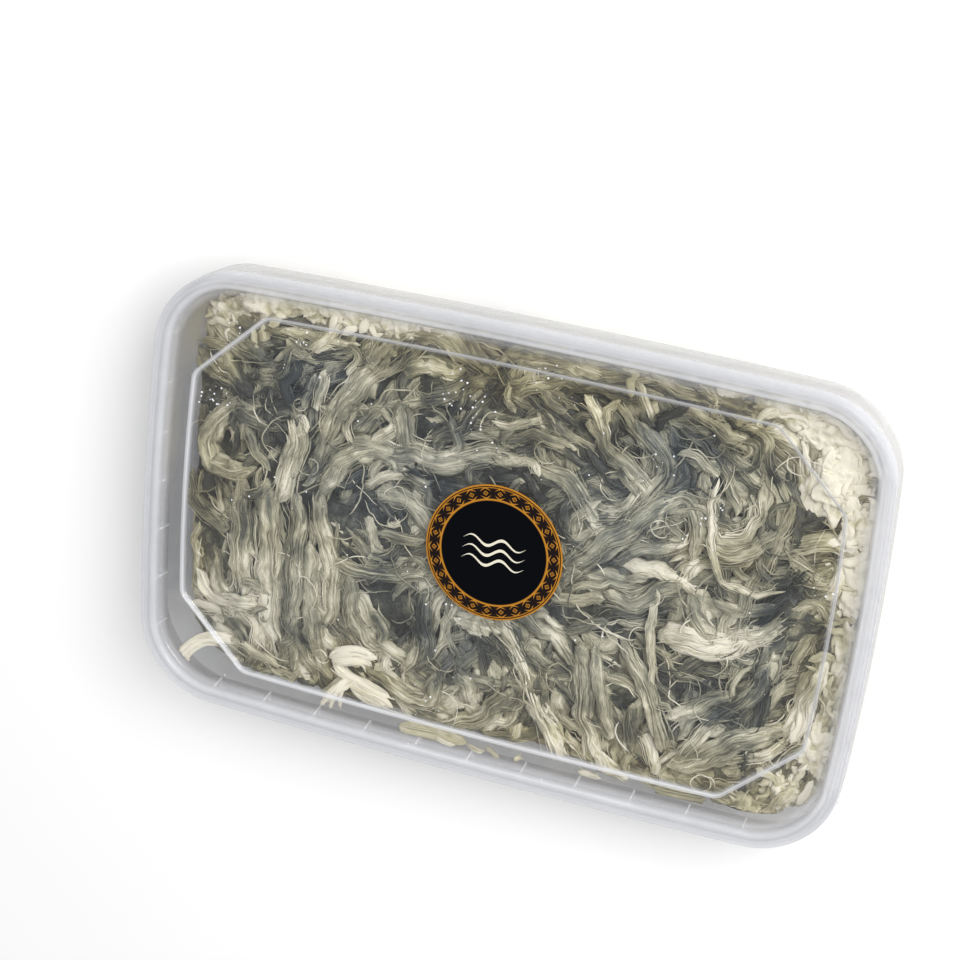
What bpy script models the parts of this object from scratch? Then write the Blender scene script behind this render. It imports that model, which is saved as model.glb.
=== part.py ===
"""A shut clear tub of blue string cheese, lying on its base with the lid up.

Heights are drawn from the top of the lid's ring down: X runs along the long side, Y along the short side and Z out
of the lid, with the ring's top at Z = 0. An empty then lifts it all, so that the base lies on the ground. Sizes are
in millimetres, and MM makes them metres. An inset is a distance inwards from the outside of the collar.
"""

import math
import random

import bmesh
import bpy
from mathutils import Vector, noise

MM = 0.001
SHARP_ANGLE = 35.0

# The outline round the outside of the collar. Its four sides bow out a little.
LENGTH = 235.0
WIDTH = 148.2
CORNER_RADIUS = 25.2
SHORT_SIDE_BOW = 2.8
LONG_SIDE_BOW = 2.0
CORNER_STEPS = 7
LONG_STEPS = 9
SHORT_STEPS = 5

# The tub: a thin wall that slopes in to the base, a lip that stands in the lid's ring, and between them a web that
# carries the collar round the rim
DEPTH = 40.0
WALL = 0.9
WALL_INSET = 3.8
WALL_DRAFT = 4.2
BASE_BOW = 0.5
BASE_ROUND = 5.0
LIP_INSET = 1.9
LIP_TOP = -1.3
WEB_TOP = -6.0
COLLAR_FOOT = -17.0
COLLAR_THICKNESS = 0.8
COLLAR_DRAFT = 0.5

# The ribs between the collar and the wall
RIB_PITCH_LONG = 18.4
RIB_PITCH_SHORT = 17.6
RIBS_LONG = 11
RIBS_SHORT = 7
RIB_THICKNESS = 0.7
RIB_FOOT = -15.6
RIB_BITE = 0.6

# The lid: a ring over the tub's lip, and a sunk panel with an eight-sided step in it
SHEET = 0.8
RING_INSET = 0.1
RING_INNER_INSET = 5.0
RING_FOOT = -5.4
RING_ROUND = 1.2
PANEL_TOP = -3.0
PANEL_INSET = 5.7
STEP_DROP = 1.2
STEP_SLOPE = 1.0
OCTAGON_HALF_X = 104.5
OCTAGON_HALF_Y = 61.4
OCTAGON_CUT = 22.3
OCTAGON_ROUND = 5.0

# The round label on the lid
LABEL_RADIUS = 22.6
LABEL_THICKNESS = 0.3
LABEL_CENTRE = (0.4, 1.5)
LABEL_STEPS = 48

# Bare room that is kept between one piece and the next
GAP = 0.35

# The heap of cheese: its usual level, how far it falls towards two sides of the tub, and the core under the strands
HEAP_TOP = -12.0
FALL_LEFT = 9.0
FALL_FRONT = 8.0
CORE_DROP = 1.6
CORE_BUMP = 1.5
CORE_CELL = 8.0
CHEESE_SEED = 7
STRAND_SIDES = 6
STRAND_FLATNESS = 0.62
STRAND_STEP = 5.2
LUMP_SIDES = 12

# The strands were drawn on one level, as seen from one point. A strand's depth slides it along that line of sight.
PLAN_LEVEL = -10.0
PLAN_EYE = Vector((167.0, 250.0, 556.0))

# The thickest strands: width, then the plan of their middle line
STRANDS = (
    (9.5, ((-80, 6), (-79, -10), (-78, -24), (-77, -38), (-74, -52))),
    (8.5, ((-62, 4), (-56, 16), (-47, 23), (-35, 24), (-22, 26), (-8, 31), (6, 31))),
    (9.0, ((19, -10), (25, 1), (33, 9), (41, 17), (48, 26), (58, 30))),
    (9.0, ((54, -17), (64, -14), (75, -14), (83, -9), (91, -3))),
    (8.0, ((64, -58), (74, -53), (83, -46), (91, -41), (99, -35))),
    (7.5, ((2, -20), (8, -28), (14, -38), (18, -48), (24, -57), (31, -66))),
    (8.0, ((-39, 62), (-47, 51), (-54, 40), (-60, 30), (-65, 20))),
    (7.5, ((-76, -2), (-73, 10), (-71, 21), (-73, 30))),
    (7.5, ((-86, 30), (-96, 25), (-102, 16), (-100, 8), (-92, 6), (-85, 9))),
    (7.5, ((-42, -49), (-34, -54), (-26, -57), (-18, -56), (-15, -47))),
    (7.0, ((-90, 6), (-89, -10), (-88, -25), (-87, -38))),
    (7.0, ((-69, 4), (-68, -15), (-68, -35), (-66, -57))),
    (7.0, ((-64, -12), (-62, -30), (-60, -46), (-52, -60))),
    (7.0, ((99, -40), (102, -28), (104, -17), (107, -8))),
    (7.0, ((-22, -69), (-9, -65), (0, -60), (6, -53), (11, -46))),
    (7.0, ((-43, 57), (-37, 65), (-26, 67), (-17, 62), (-9, 57))),
    (7.0, ((-6, 65), (5, 66), (15, 66), (27, 63))),
    (6.5, ((-112, 45), (-104, 41), (-96, 37), (-86, 33))),
    (6.5, ((-38, 42), (-35, 34), (-32, 26))),
    (6.5, ((31, -24), (33, -35), (34, -46), (38, -56), (42, -64))),
    (6.5, ((-43, 11), (-32, 10), (-25, 5), (-20, -2))),
    (6.5, ((87, 21), (94, 25), (101, 27), (109, 27))),
    (6.0, ((-108, 61), (-99, 53), (-91, 49), (-82, 43))),
    (6.0, ((-37, 40), (-29, 44), (-20, 48), (-10, 56))),
    (6.0, ((-62, 6), (-59, -10), (-55, -22), (-54, -33), (-58, -43))),
    (6.0, ((90, -16), (87, -26), (80, -34), (73, -41))),
    (6.0, ((-108, 3), (-106, -6), (-101, -11), (-93, -15))),
    (6.0, ((28, 43), (36, 38), (44, 32), (52, 24))),
    (6.0, ((10, 31), (18, 29), (25, 24), (31, 17))),
    (6.0, ((78, -68), (88, -70), (97, -66), (105, -54))),
    (5.5, ((80, 44), (86, 37), (86, 28), (81, 21), (72, 17), (64, 19))),
    (5.5, ((48, 20), (50, 27), (56, 30), (61, 25), (62, 12))),
    (5.5, ((42, -19), (48, -27), (54, -36), (59, -46), (61, -55))),
    (5.5, ((38, 53), (44, 47), (50, 40), (46, 30), (38, 20))),
    (5.5, ((60, -43), (67, -38), (74, -33), (81, -28))),
    (5.0, ((-56, -17), (-42, -18), (-30, -16), (-20, -12))),
    (6.0, ((38, 70), (50, 66), (60, 65), (72, 62))),
    (6.0, ((-78, 54), (-70, 53), (-62, 52), (-54, 56))),
    (5.5, ((62, 0), (66, -7), (70, -12), (80, -20))),
    (5.5, ((-22, -18), (-23, -28), (-20, -38), (-24, -48))),
    (5.5, ((-49, -20), (-48, -30), (-46, -38), (-38, -43))),
    (5.5, ((35, -6), (44, -8), (52, -2), (60, 4))),
    (5.5, ((-12, 14), (-4, 12), (4, 16), (12, 14))),
    (5.0, ((90, 20), (97, 17), (104, 15))),
    (5.0, ((-104, -32), (-97, -39), (-88, -41), (-80, -40))),
    (5.0, ((-109, -71), (-105, -64), (-99, -59), (-92, -58), (-84, -56))),
)

# Pale lumps that stand out of the heap: place, then half its length, width and height
LUMPS = (
    ((-47, -53), (8.5, 6.0, 4.0)),
    ((100, 52), (11.0, 15.0, 4.5)),
    ((-5, -26), (7.5, 4.0, 3.5)),
)

CLEAR = (0.86, 0.88, 0.90, 1.0)
LABEL_COLOUR = (0.03, 0.04, 0.07, 1.0)
CHEESE_COLOUR = (0.52, 0.50, 0.40, 1.0)


def material(name, colour, roughness, see_through=0.0):
    made = bpy.data.materials.new(name)
    made.use_nodes = True
    shader = made.node_tree.nodes["Principled BSDF"]
    shader.inputs["Base Color"].default_value = colour
    shader.inputs["Roughness"].default_value = roughness
    shader.inputs["Metallic"].default_value = 0.0
    shader.inputs["Transmission Weight"].default_value = see_through
    return made


def add_object(name, shape, finish=None):
    """The finished mesh as an object, its faces pointing out."""
    bmesh.ops.recalc_face_normals(shape, faces=shape.faces)
    mesh = bpy.data.meshes.new(name)
    shape.to_mesh(mesh)
    shape.free()
    mesh.shade_smooth()
    mesh.set_sharp_from_angle(angle=math.radians(SHARP_ANGLE))
    if finish:
        mesh.materials.append(finish)
    made = bpy.data.objects.new(name, mesh)
    bpy.context.scene.collection.objects.link(made)
    return made


def loft(loops, shape=None):
    """Skins loops of points that run round alike. The first and the last close the ends."""
    shape = shape or bmesh.new()
    rings = [[shape.verts.new(Vector(point) * MM) for point in loop] for loop in loops]
    for low, high in zip(rings, rings[1:]):
        for k in range(len(low)):
            after = (k + 1) % len(low)
            shape.faces.new((low[k], low[after], high[after], high[k]))
    shape.faces.new(rings[0])
    shape.faces.new(rings[-1])
    return shape


def around(quarter, bow):
    """A closed loop from its quarter over +X and +Y, its sides divided and bowed out."""
    corners = (
        quarter,
        [(-x, y) for x, y in reversed(quarter)],
        [(-x, -y) for x, y in quarter],
        [(x, -y) for x, y in reversed(quarter)],
    )
    points = []
    for turn, corner in enumerate(corners):
        points += corner
        steps = SHORT_STEPS if turn % 2 else LONG_STEPS
        start, end = corner[-1], corners[(turn + 1) % 4][0]
        for k in range(1, steps):
            share = k / steps
            points.append((start[0] + (end[0] - start[0]) * share, start[1] + (end[1] - start[1]) * share))
    half_x, half_y = quarter[0][0], quarter[-1][1]
    return [
        (
            x + x / half_x * bow * SHORT_SIDE_BOW * (1 - (y / half_y) ** 2),
            y + y / half_y * bow * LONG_SIDE_BOW * (1 - (x / half_x) ** 2),
        )
        for x, y in points
    ]


def arc(centre, radius, start, end, steps):
    angles = [math.radians(start + (end - start) * k / steps) for k in range(steps + 1)]
    return [(centre[0] + radius * math.cos(a), centre[1] + radius * math.sin(a)) for a in angles]


def level(inset, z, bow=1.0):
    """The tub's outline at one height."""
    radius = CORNER_RADIUS - inset
    centre = (LENGTH / 2 - CORNER_RADIUS, WIDTH / 2 - CORNER_RADIUS)
    return [(x, y, z) for x, y in around(arc(centre, radius, 0, 90, CORNER_STEPS), bow)]


def octagon(grow, z):
    """The eight-sided step at one height, with as many points as the outline."""
    half_x, half_y = OCTAGON_HALF_X + grow, OCTAGON_HALF_Y + grow
    cut = OCTAGON_CUT + grow * (2 - math.sqrt(2))
    run = OCTAGON_ROUND * math.tan(math.radians(22.5))
    steps = CORNER_STEPS // 2
    quarter = arc((half_x - OCTAGON_ROUND, half_y - cut - run), OCTAGON_ROUND, 0, 45, steps)
    quarter += arc((half_x - cut - run, half_y - OCTAGON_ROUND), OCTAGON_ROUND, 45, 90, steps)
    return [(x, y, z) for x, y in around(quarter, 1.0)]


def wall_at(z):
    """How far in the wall's outside is at a height, and how much of the sides' bow is left there."""
    share = min(max((WEB_TOP - z) / (WEB_TOP + DEPTH), 0.0), 1.0)
    return WALL_INSET + WALL_DRAFT * share, 1 + (BASE_BOW - 1) * share


def wall_level(z, further_in=0.0):
    inset, bow = wall_at(z)
    return level(inset + further_in, z, bow)


def add_rib(shape, x, y, turn):
    """A thin plate that runs into the collar and into the wall. The turn faces outwards."""
    cos, sin = math.cos(turn), math.sin(turn)
    half = RIB_THICKNESS / 2
    loops = []
    for z in (RIB_FOOT, WEB_TOP - WALL / 2):
        reach = wall_at(z)[0] + RIB_BITE
        corners = ((COLLAR_DRAFT, -half), (reach, -half), (reach, half), (COLLAR_DRAFT, half))
        loops.append([(x - u * cos - v * sin, y - u * sin + v * cos, z) for u, v in corners])
    loft(loops, shape)


def make_ribs():
    shape = bmesh.new()
    half_x, half_y = LENGTH / 2, WIDTH / 2
    for k in range(RIBS_LONG):
        x = (k - (RIBS_LONG - 1) / 2) * RIB_PITCH_LONG
        out = half_y + LONG_SIDE_BOW * (1 - (x / half_x) ** 2)
        for side in (1, -1):
            add_rib(shape, x, side * out, side * math.pi / 2)
    for k in range(RIBS_SHORT):
        y = (k - (RIBS_SHORT - 1) / 2) * RIB_PITCH_SHORT
        out = half_x + SHORT_SIDE_BOW * (1 - (y / half_y) ** 2)
        for side in (1, -1):
            add_rib(shape, side * out, y, 0.0 if side > 0 else math.pi)
    return add_object("ribs", shape)


def make_tub(finish):
    base = -DEPTH
    foot_inset = wall_at(base)[0]
    loops = [
        level(foot_inset + WALL + BASE_ROUND - 0.6, base + WALL, BASE_BOW),
        level(foot_inset + WALL + 0.8, base + WALL + 1.0, BASE_BOW),
        wall_level(base + BASE_ROUND + 0.6, WALL),
        wall_level(WEB_TOP - WALL, WALL),
        level(LIP_INSET + WALL, WEB_TOP),
        level(LIP_INSET + WALL, LIP_TOP),
        level(LIP_INSET, LIP_TOP),
        level(LIP_INSET, WEB_TOP),
        level(0.4, WEB_TOP),
        level(0.0, WEB_TOP - 0.4),
        level(COLLAR_DRAFT, COLLAR_FOOT),
        level(COLLAR_DRAFT + COLLAR_THICKNESS, COLLAR_FOOT),
        level(COLLAR_THICKNESS, WEB_TOP - WALL),
        wall_level(WEB_TOP - WALL),
        wall_level(base + BASE_ROUND),
        level(foot_inset + 1.1, base + 1.1, BASE_BOW),
        level(foot_inset + BASE_ROUND, base, BASE_BOW),
    ]
    tub = add_object("tub", loft(loops), finish)
    join(tub, [make_ribs()], "UNION")
    return tub


def make_lid(finish):
    under = PANEL_TOP - SHEET
    loops = [
        octagon(-STEP_SLOPE + 0.3, under - STEP_DROP),
        octagon(0.3, under),
        level(PANEL_INSET - SHEET, under),
        level(RING_INNER_INSET - SHEET, -SHEET),
        level(RING_INSET + SHEET, -SHEET),
        level(RING_INSET + SHEET, RING_FOOT),
        level(RING_INSET, RING_FOOT),
        level(RING_INSET, -RING_ROUND),
        level(RING_INSET + 0.3 * RING_ROUND, -0.3 * RING_ROUND),
        level(RING_INSET + RING_ROUND, 0.0),
        level(RING_INNER_INSET - 0.5 * RING_ROUND, 0.0),
        level(RING_INNER_INSET, -0.4 * RING_ROUND),
        level(PANEL_INSET, PANEL_TOP),
        octagon(0.0, PANEL_TOP),
        octagon(-STEP_SLOPE, PANEL_TOP - STEP_DROP),
    ]
    return add_object("lid", loft(loops), finish)


def make_label(finish):
    floor = PANEL_TOP - STEP_DROP + GAP
    loops = []
    for radius, z in ((LABEL_RADIUS, floor), (LABEL_RADIUS, floor + LABEL_THICKNESS)):
        points = arc(LABEL_CENTRE, radius, 0, 360, LABEL_STEPS)[:-1]
        loops.append([(x, y, z) for x, y in points])
    return add_object("label", loft(loops), finish)


def ease(value, start, end):
    share = min(max((value - start) / (end - start), 0.0), 1.0)
    return share * share * (3 - 2 * share)


def heap_level(x, y):
    """The smooth level of the cheese's surface. It falls towards the left side and the lower left."""
    left = FALL_LEFT * ease(-x, 84, 112)
    front = FALL_FRONT * ease(-y, 44, 72) * (1 - 0.6 * ease(x, 20, 60))
    return HEAP_TOP - max(left, front) - 0.4 * min(left, front)


def placed(x, y, rise):
    """Where a point of the plan lies once it has sunk to the heap's level along its line of sight."""
    spot = Vector((x, y, PLAN_LEVEL))
    sight = spot - PLAN_EYE
    for _ in range(3):
        depth = heap_level(spot.x, spot.y) + rise
        spot = PLAN_EYE + sight * ((depth - PLAN_EYE.z) / sight.z)
    return spot


def smooth_route(route, count):
    """count points along a Catmull-Rom curve through the route, evenly by its own parameter."""
    ends = [route[0] * 2 - route[1], *route, route[-1] * 2 - route[-2]]
    points = []
    for k in range(count):
        whole = k / (count - 1) * (len(route) - 1)
        i = min(int(whole), len(route) - 2)
        t = whole - i
        a, b, c, d = ends[i : i + 4]
        bend = (a * -1 + b * 3 - c * 3 + d) * t**3 + (a * 2 - b * 5 + c * 4 - d) * t**2
        points.append((bend + (c - a) * t + b * 2) * 0.5)
    return points


def strand_loops(width, plan, draw):
    """The cross-sections of one strand: flat ovals that narrow and dive into the heap at both ends."""
    route = [placed(x, y, draw.uniform(-0.2, 1.8)) for x, y in plan]
    length = sum((b - a).length for a, b in zip(route, route[1:]))
    count = max(7, min(18, round(length / STRAND_STEP)))
    points = smooth_route(route, count)
    loops = []
    for k, point in enumerate(points):
        ahead = points[min(k + 1, count - 1)] - points[max(k - 1, 0)]
        side = ahead.cross(Vector((0, 0, 1))).normalized()
        up = side.cross(ahead).normalized()
        end = math.sin(math.pi * (k + 0.35) / (count - 0.3)) ** 0.5
        half = width / 2 * (0.35 + 0.65 * end) * draw.uniform(0.88, 1.1)
        middle = point - up * (1 - end) * width * 0.55
        turns = [math.tau * (s + 0.5) / STRAND_SIDES for s in range(STRAND_SIDES)]
        loops.append(
            [middle + side * half * math.cos(t) + up * half * STRAND_FLATNESS * math.sin(t) for t in turns]
        )
    return loops


def lump_loops(place, size, draw):
    """An uneven lump from stacked rounds, sunk to its middle in the heap."""
    middle = placed(*place, 0.0)
    loops = []
    for tilt in (-70, -35, 0, 30, 58, 80):
        high, wide = math.sin(math.radians(tilt)), math.cos(math.radians(tilt))
        loop = []
        for s in range(LUMP_SIDES):
            turn = math.tau * s / LUMP_SIDES
            uneven = wide * draw.uniform(0.82, 1.12)
            out = Vector((size[0] * uneven * math.cos(turn), size[1] * uneven * math.sin(turn), size[2] * high))
            loop.append(middle + out)
        loops.append(loop)
    return loops


def join(target, others, operation, solver="EXACT"):
    """Joins or cuts the target with the other objects in one Boolean, applied, and removes them."""
    helpers = bpy.data.collections.new("helpers")
    bpy.context.scene.collection.children.link(helpers)
    for other in others:
        helpers.objects.link(other)
    cut = target.modifiers.new("join", "BOOLEAN")
    cut.operation = operation
    cut.solver = solver
    if len(others) == 1:
        cut.object = others[0]
    else:
        cut.operand_type = "COLLECTION"
        cut.collection = helpers
    graph = bpy.context.evaluated_depsgraph_get()
    joined = bpy.data.meshes.new_from_object(target.evaluated_get(graph))
    target.modifiers.remove(cut)
    target.data = joined
    for other in others:
        bpy.data.objects.remove(other)
    bpy.data.collections.remove(helpers)


def inner_space(name, top):
    """The room inside the tub up to a height, clear of its walls."""
    floor = -DEPTH + WALL + GAP
    foot_inset = wall_at(-DEPTH)[0] + WALL + GAP
    loops = [
        level(foot_inset + BASE_ROUND - 0.6, floor, BASE_BOW),
        level(foot_inset + 0.9, floor + 1.2, BASE_BOW),
        wall_level(floor + BASE_ROUND, WALL + GAP),
        wall_level(top, WALL + GAP),
    ]
    return add_object(name, loft(loops))


def heap_core():
    """A block with the heap's uneven top, larger than the tub, which the room inside the tub then cuts."""
    shape = bmesh.new()
    cells = (math.ceil(LENGTH / CORE_CELL), math.ceil(WIDTH / CORE_CELL))
    bmesh.ops.create_grid(shape, x_segments=cells[0], y_segments=cells[1], size=0.5)
    top = shape.verts[:]
    bottom = bmesh.ops.extrude_face_region(shape, geom=shape.faces[:])["geom"]
    for vertex in bottom:
        if isinstance(vertex, bmesh.types.BMVert):
            vertex.co = Vector((vertex.co.x * LENGTH, vertex.co.y * WIDTH, -DEPTH - 5.0)) * MM
    for vertex in top:
        x, y = vertex.co.x * LENGTH, vertex.co.y * WIDTH
        bump = CORE_BUMP * noise.noise(Vector((x / 9, y / 9, 4.0)))
        vertex.co = Vector((x, y, heap_level(x, y) - CORE_DROP + bump)) * MM
    return shape


def make_cheese(finish):
    draw = random.Random(CHEESE_SEED)
    cheese = add_object("cheese", heap_core(), finish)
    pieces = [strand_loops(width, plan, draw) for width, plan in STRANDS]
    pieces += [lump_loops(place, size, draw) for place, size in LUMPS]
    join(cheese, [add_object(f"piece_{k}", loft(loops)) for k, loops in enumerate(pieces)], "UNION")
    room_top = PANEL_TOP - STEP_DROP - SHEET - GAP
    # EXACT leaves nothing of this cut
    join(cheese, [inner_space("room", room_top)], "INTERSECT", "MANIFOLD")
    return cheese


def set_down(pieces):
    """Lifts the pieces by the tub's depth, so that the base lies on the ground under the origin."""
    ring_top = bpy.data.objects.new("ring_top", None)
    ring_top.location = (0, 0, DEPTH * MM)
    bpy.context.scene.collection.objects.link(ring_top)
    for piece in pieces:
        piece.parent = ring_top


def main():
    for old in list(bpy.data.objects):
        bpy.data.objects.remove(old)
    plastic = material("clear_plastic", CLEAR, 0.12, 0.9)
    paper = material("label_print", LABEL_COLOUR, 0.35)
    curd = material("string_cheese", CHEESE_COLOUR, 0.6)
    set_down([make_tub(plastic), make_lid(plastic), make_label(paper), make_cheese(curd)])


main()
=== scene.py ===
"""Looks for a shut clear tub of blue string cheese, lying on its base with the lid up.

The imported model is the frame. The tub, the lid and the label are drawn again with finer rounds, and the heap is
drawn as torn strands over its own core. Drawings are in millimetres, with the top of the lid's ring at Z = 0 as in
the part's source, and world() turns a drawn point into metres with the base on the ground.
"""

import math
import random

import bmesh
import bpy
import numpy as np
from mathutils import Euler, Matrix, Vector, noise

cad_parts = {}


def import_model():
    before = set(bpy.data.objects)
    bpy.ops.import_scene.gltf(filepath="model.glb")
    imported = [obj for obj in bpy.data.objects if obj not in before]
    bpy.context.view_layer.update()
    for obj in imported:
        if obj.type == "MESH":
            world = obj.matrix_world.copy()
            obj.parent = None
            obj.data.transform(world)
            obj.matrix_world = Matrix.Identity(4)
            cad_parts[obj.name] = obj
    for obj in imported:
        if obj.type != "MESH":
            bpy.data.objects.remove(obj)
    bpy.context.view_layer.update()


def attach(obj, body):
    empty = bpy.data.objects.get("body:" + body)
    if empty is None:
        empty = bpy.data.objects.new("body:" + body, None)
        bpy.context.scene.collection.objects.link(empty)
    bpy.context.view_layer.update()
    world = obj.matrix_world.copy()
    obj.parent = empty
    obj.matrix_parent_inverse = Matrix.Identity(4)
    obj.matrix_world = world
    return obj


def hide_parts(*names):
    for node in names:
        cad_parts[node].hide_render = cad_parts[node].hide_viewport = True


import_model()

MM = 0.001

# The outline round the outside of the collar. Its four sides bow out a little.
LENGTH = 235.0
WIDTH = 148.2
CORNER_RADIUS = 25.2
SHORT_SIDE_BOW = 2.77
LONG_SIDE_BOW = 2.0
CORNER_STEPS = 23
LONG_STEPS = 36
SHORT_STEPS = 24

# The tub
DEPTH = 40.0
WALL = 0.9
WALL_INSET = 3.8
WALL_DRAFT = 4.2
BASE_BOW = 0.5
BASE_ROUND = 5.0
LIP_INSET = 1.9
LIP_TOP = -1.3
WEB_TOP = -6.0
COLLAR_FOOT = -17.0
COLLAR_THICKNESS = 0.8
COLLAR_DRAFT = 0.5
INNER_ROWS = 14

# The ribs between the collar and the wall, with a bead on the lip and a tick on the rim over each
RIB_PITCH_LONG = 18.4
RIB_PITCH_SHORT = 17.25
RIB_SHIFT_LONG = -0.7
RIB_SHIFT_SHORT = -1.8
RIBS_LONG = 11
RIBS_SHORT = 7
RIB_THICKNESS = 0.5
RIB_FOOT = -10.9
BEAD_REACH = 1.1
BEAD_TOP = -1.5
TICK_REACH = 0.7
TICK_ENDS = (-3.9, -6.6)

# The lid
SHEET = 0.8
RING_INSET = 0.1
RING_INNER_INSET = 5.0
RING_FOOT = -5.4
PANEL_TOP = -3.0
PANEL_INSET = 5.7
STEP_DROP = 1.2
STEP_SLOPE = 1.0
OCTAGON_HALF_X = 104.5
OCTAGON_HALF_Y = 61.4
OCTAGON_CUT = 22.3
OCTAGON_ROUND = 5.0

# The label
LABEL_RADIUS = 22.6
LABEL_THICKNESS = 0.3
LABEL_CENTRE = (0.4, 1.5)

# The heap
GAP = 0.35
HEAP_TOP = -12.0
FALL_LEFT = 9.0
FALL_FRONT = 8.0
PLAN_LEVEL = -10.0
PLAN_EYE = Vector((167.0, 250.0, 556.0))
ROOM_TOP = -5.6
CHEESE_SEED = 7
LUMP_CUTS = 5

# The strands of the part's source: width, how pale they are from 0 to 1, then the plan of their middle line
STRANDS = (
    (9.5, 0.72, ((-80, 6), (-79, -10), (-78, -24), (-77, -38), (-74, -52))),
    (8.5, 0.6, ((-62, 4), (-56, 16), (-47, 23), (-35, 24), (-22, 26), (-8, 31), (6, 31))),
    (9.0, 0.3, ((19, -10), (25, 1), (33, 9), (41, 17), (48, 26), (58, 30))),
    (9.0, 0.85, ((54, -17), (64, -14), (75, -14), (83, -9), (91, -3))),
    (8.0, 0.6, ((64, -58), (74, -53), (83, -46), (91, -41), (99, -35))),
    (7.5, 0.8, ((2, -20), (8, -28), (14, -38), (18, -48), (24, -57), (31, -66))),
    (8.0, 0.7, ((-39, 62), (-47, 51), (-54, 40), (-60, 30), (-65, 20))),
    (7.5, 0.8, ((-76, -2), (-73, 10), (-71, 21), (-73, 30))),
    (7.5, 0.65, ((-86, 30), (-96, 25), (-102, 16), (-100, 8), (-92, 6), (-85, 9))),
    (7.5, 0.5, ((-42, -49), (-34, -54), (-26, -57), (-18, -56), (-15, -47))),
    (7.0, 0.6, ((-90, 6), (-89, -10), (-88, -25), (-87, -38))),
    (7.0, 0.5, ((-69, 4), (-68, -15), (-68, -35), (-66, -57))),
    (7.0, 0.58, ((-64, -12), (-62, -30), (-60, -46), (-52, -60))),
    (7.0, 0.75, ((99, -40), (102, -28), (104, -17), (107, -8))),
    (7.0, 0.55, ((-22, -69), (-9, -65), (0, -60), (6, -53), (11, -46))),
    (7.0, 0.7, ((-43, 57), (-37, 65), (-26, 67), (-17, 62), (-9, 57))),
    (7.0, 0.5, ((-6, 65), (5, 66), (15, 66), (27, 63))),
    (6.5, 0.4, ((-112, 45), (-104, 41), (-96, 37), (-86, 33))),
    (6.5, 0.5, ((-38, 42), (-35, 34), (-32, 26))),
    (6.5, 0.6, ((31, -24), (33, -35), (34, -46), (38, -56), (42, -64))),
    (6.5, 0.45, ((-43, 11), (-32, 10), (-25, 5), (-20, -2))),
    (6.5, 0.75, ((87, 21), (94, 25), (101, 27), (109, 27))),
    (6.0, 0.4, ((-108, 61), (-99, 53), (-91, 49), (-82, 43))),
    (6.0, 0.55, ((-37, 40), (-29, 44), (-20, 48), (-10, 56))),
    (6.0, 0.6, ((-62, 6), (-59, -10), (-55, -22), (-54, -33), (-58, -43))),
    (6.0, 0.36, ((90, -16), (87, -26), (80, -34), (73, -41))),
    (6.0, 0.45, ((-108, 3), (-106, -6), (-101, -11), (-93, -15))),
    (6.0, 0.55, ((28, 43), (36, 38), (44, 32), (52, 24))),
    (6.0, 0.65, ((10, 31), (18, 29), (25, 24), (31, 17))),
    (6.0, 0.6, ((78, -68), (88, -70), (97, -66), (105, -54))),
    (5.5, 0.7, ((80, 44), (86, 37), (86, 28), (81, 21), (72, 17), (64, 19))),
    (5.5, 0.6, ((48, 20), (50, 27), (56, 30), (61, 25), (62, 12))),
    (5.5, 0.45, ((42, -19), (48, -27), (54, -36), (59, -46), (61, -55))),
    (5.5, 0.55, ((38, 53), (44, 47), (50, 40), (46, 30), (38, 20))),
    (5.5, 0.6, ((60, -43), (67, -38), (74, -33), (81, -28))),
    (5.0, 0.5, ((-56, -17), (-42, -18), (-30, -16), (-20, -12))),
    (6.0, 0.6, ((38, 70), (50, 66), (60, 65), (72, 62))),
    (6.0, 0.65, ((-78, 54), (-70, 53), (-62, 52), (-54, 56))),
    (5.5, 0.5, ((62, 0), (66, -7), (70, -12), (80, -20))),
    (5.5, 0.4, ((-22, -18), (-23, -28), (-20, -38), (-24, -48))),
    (5.5, 0.5, ((-49, -20), (-48, -30), (-46, -38), (-38, -43))),
    (5.5, 0.45, ((35, -6), (44, -8), (52, -2), (60, 4))),
    (5.5, 0.5, ((-12, 14), (-4, 12), (4, 16), (12, 14))),
    (5.0, 0.8, ((90, 20), (97, 17), (104, 15))),
    (5.0, 0.55, ((-104, -32), (-97, -39), (-88, -41), (-80, -40))),
)

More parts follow.
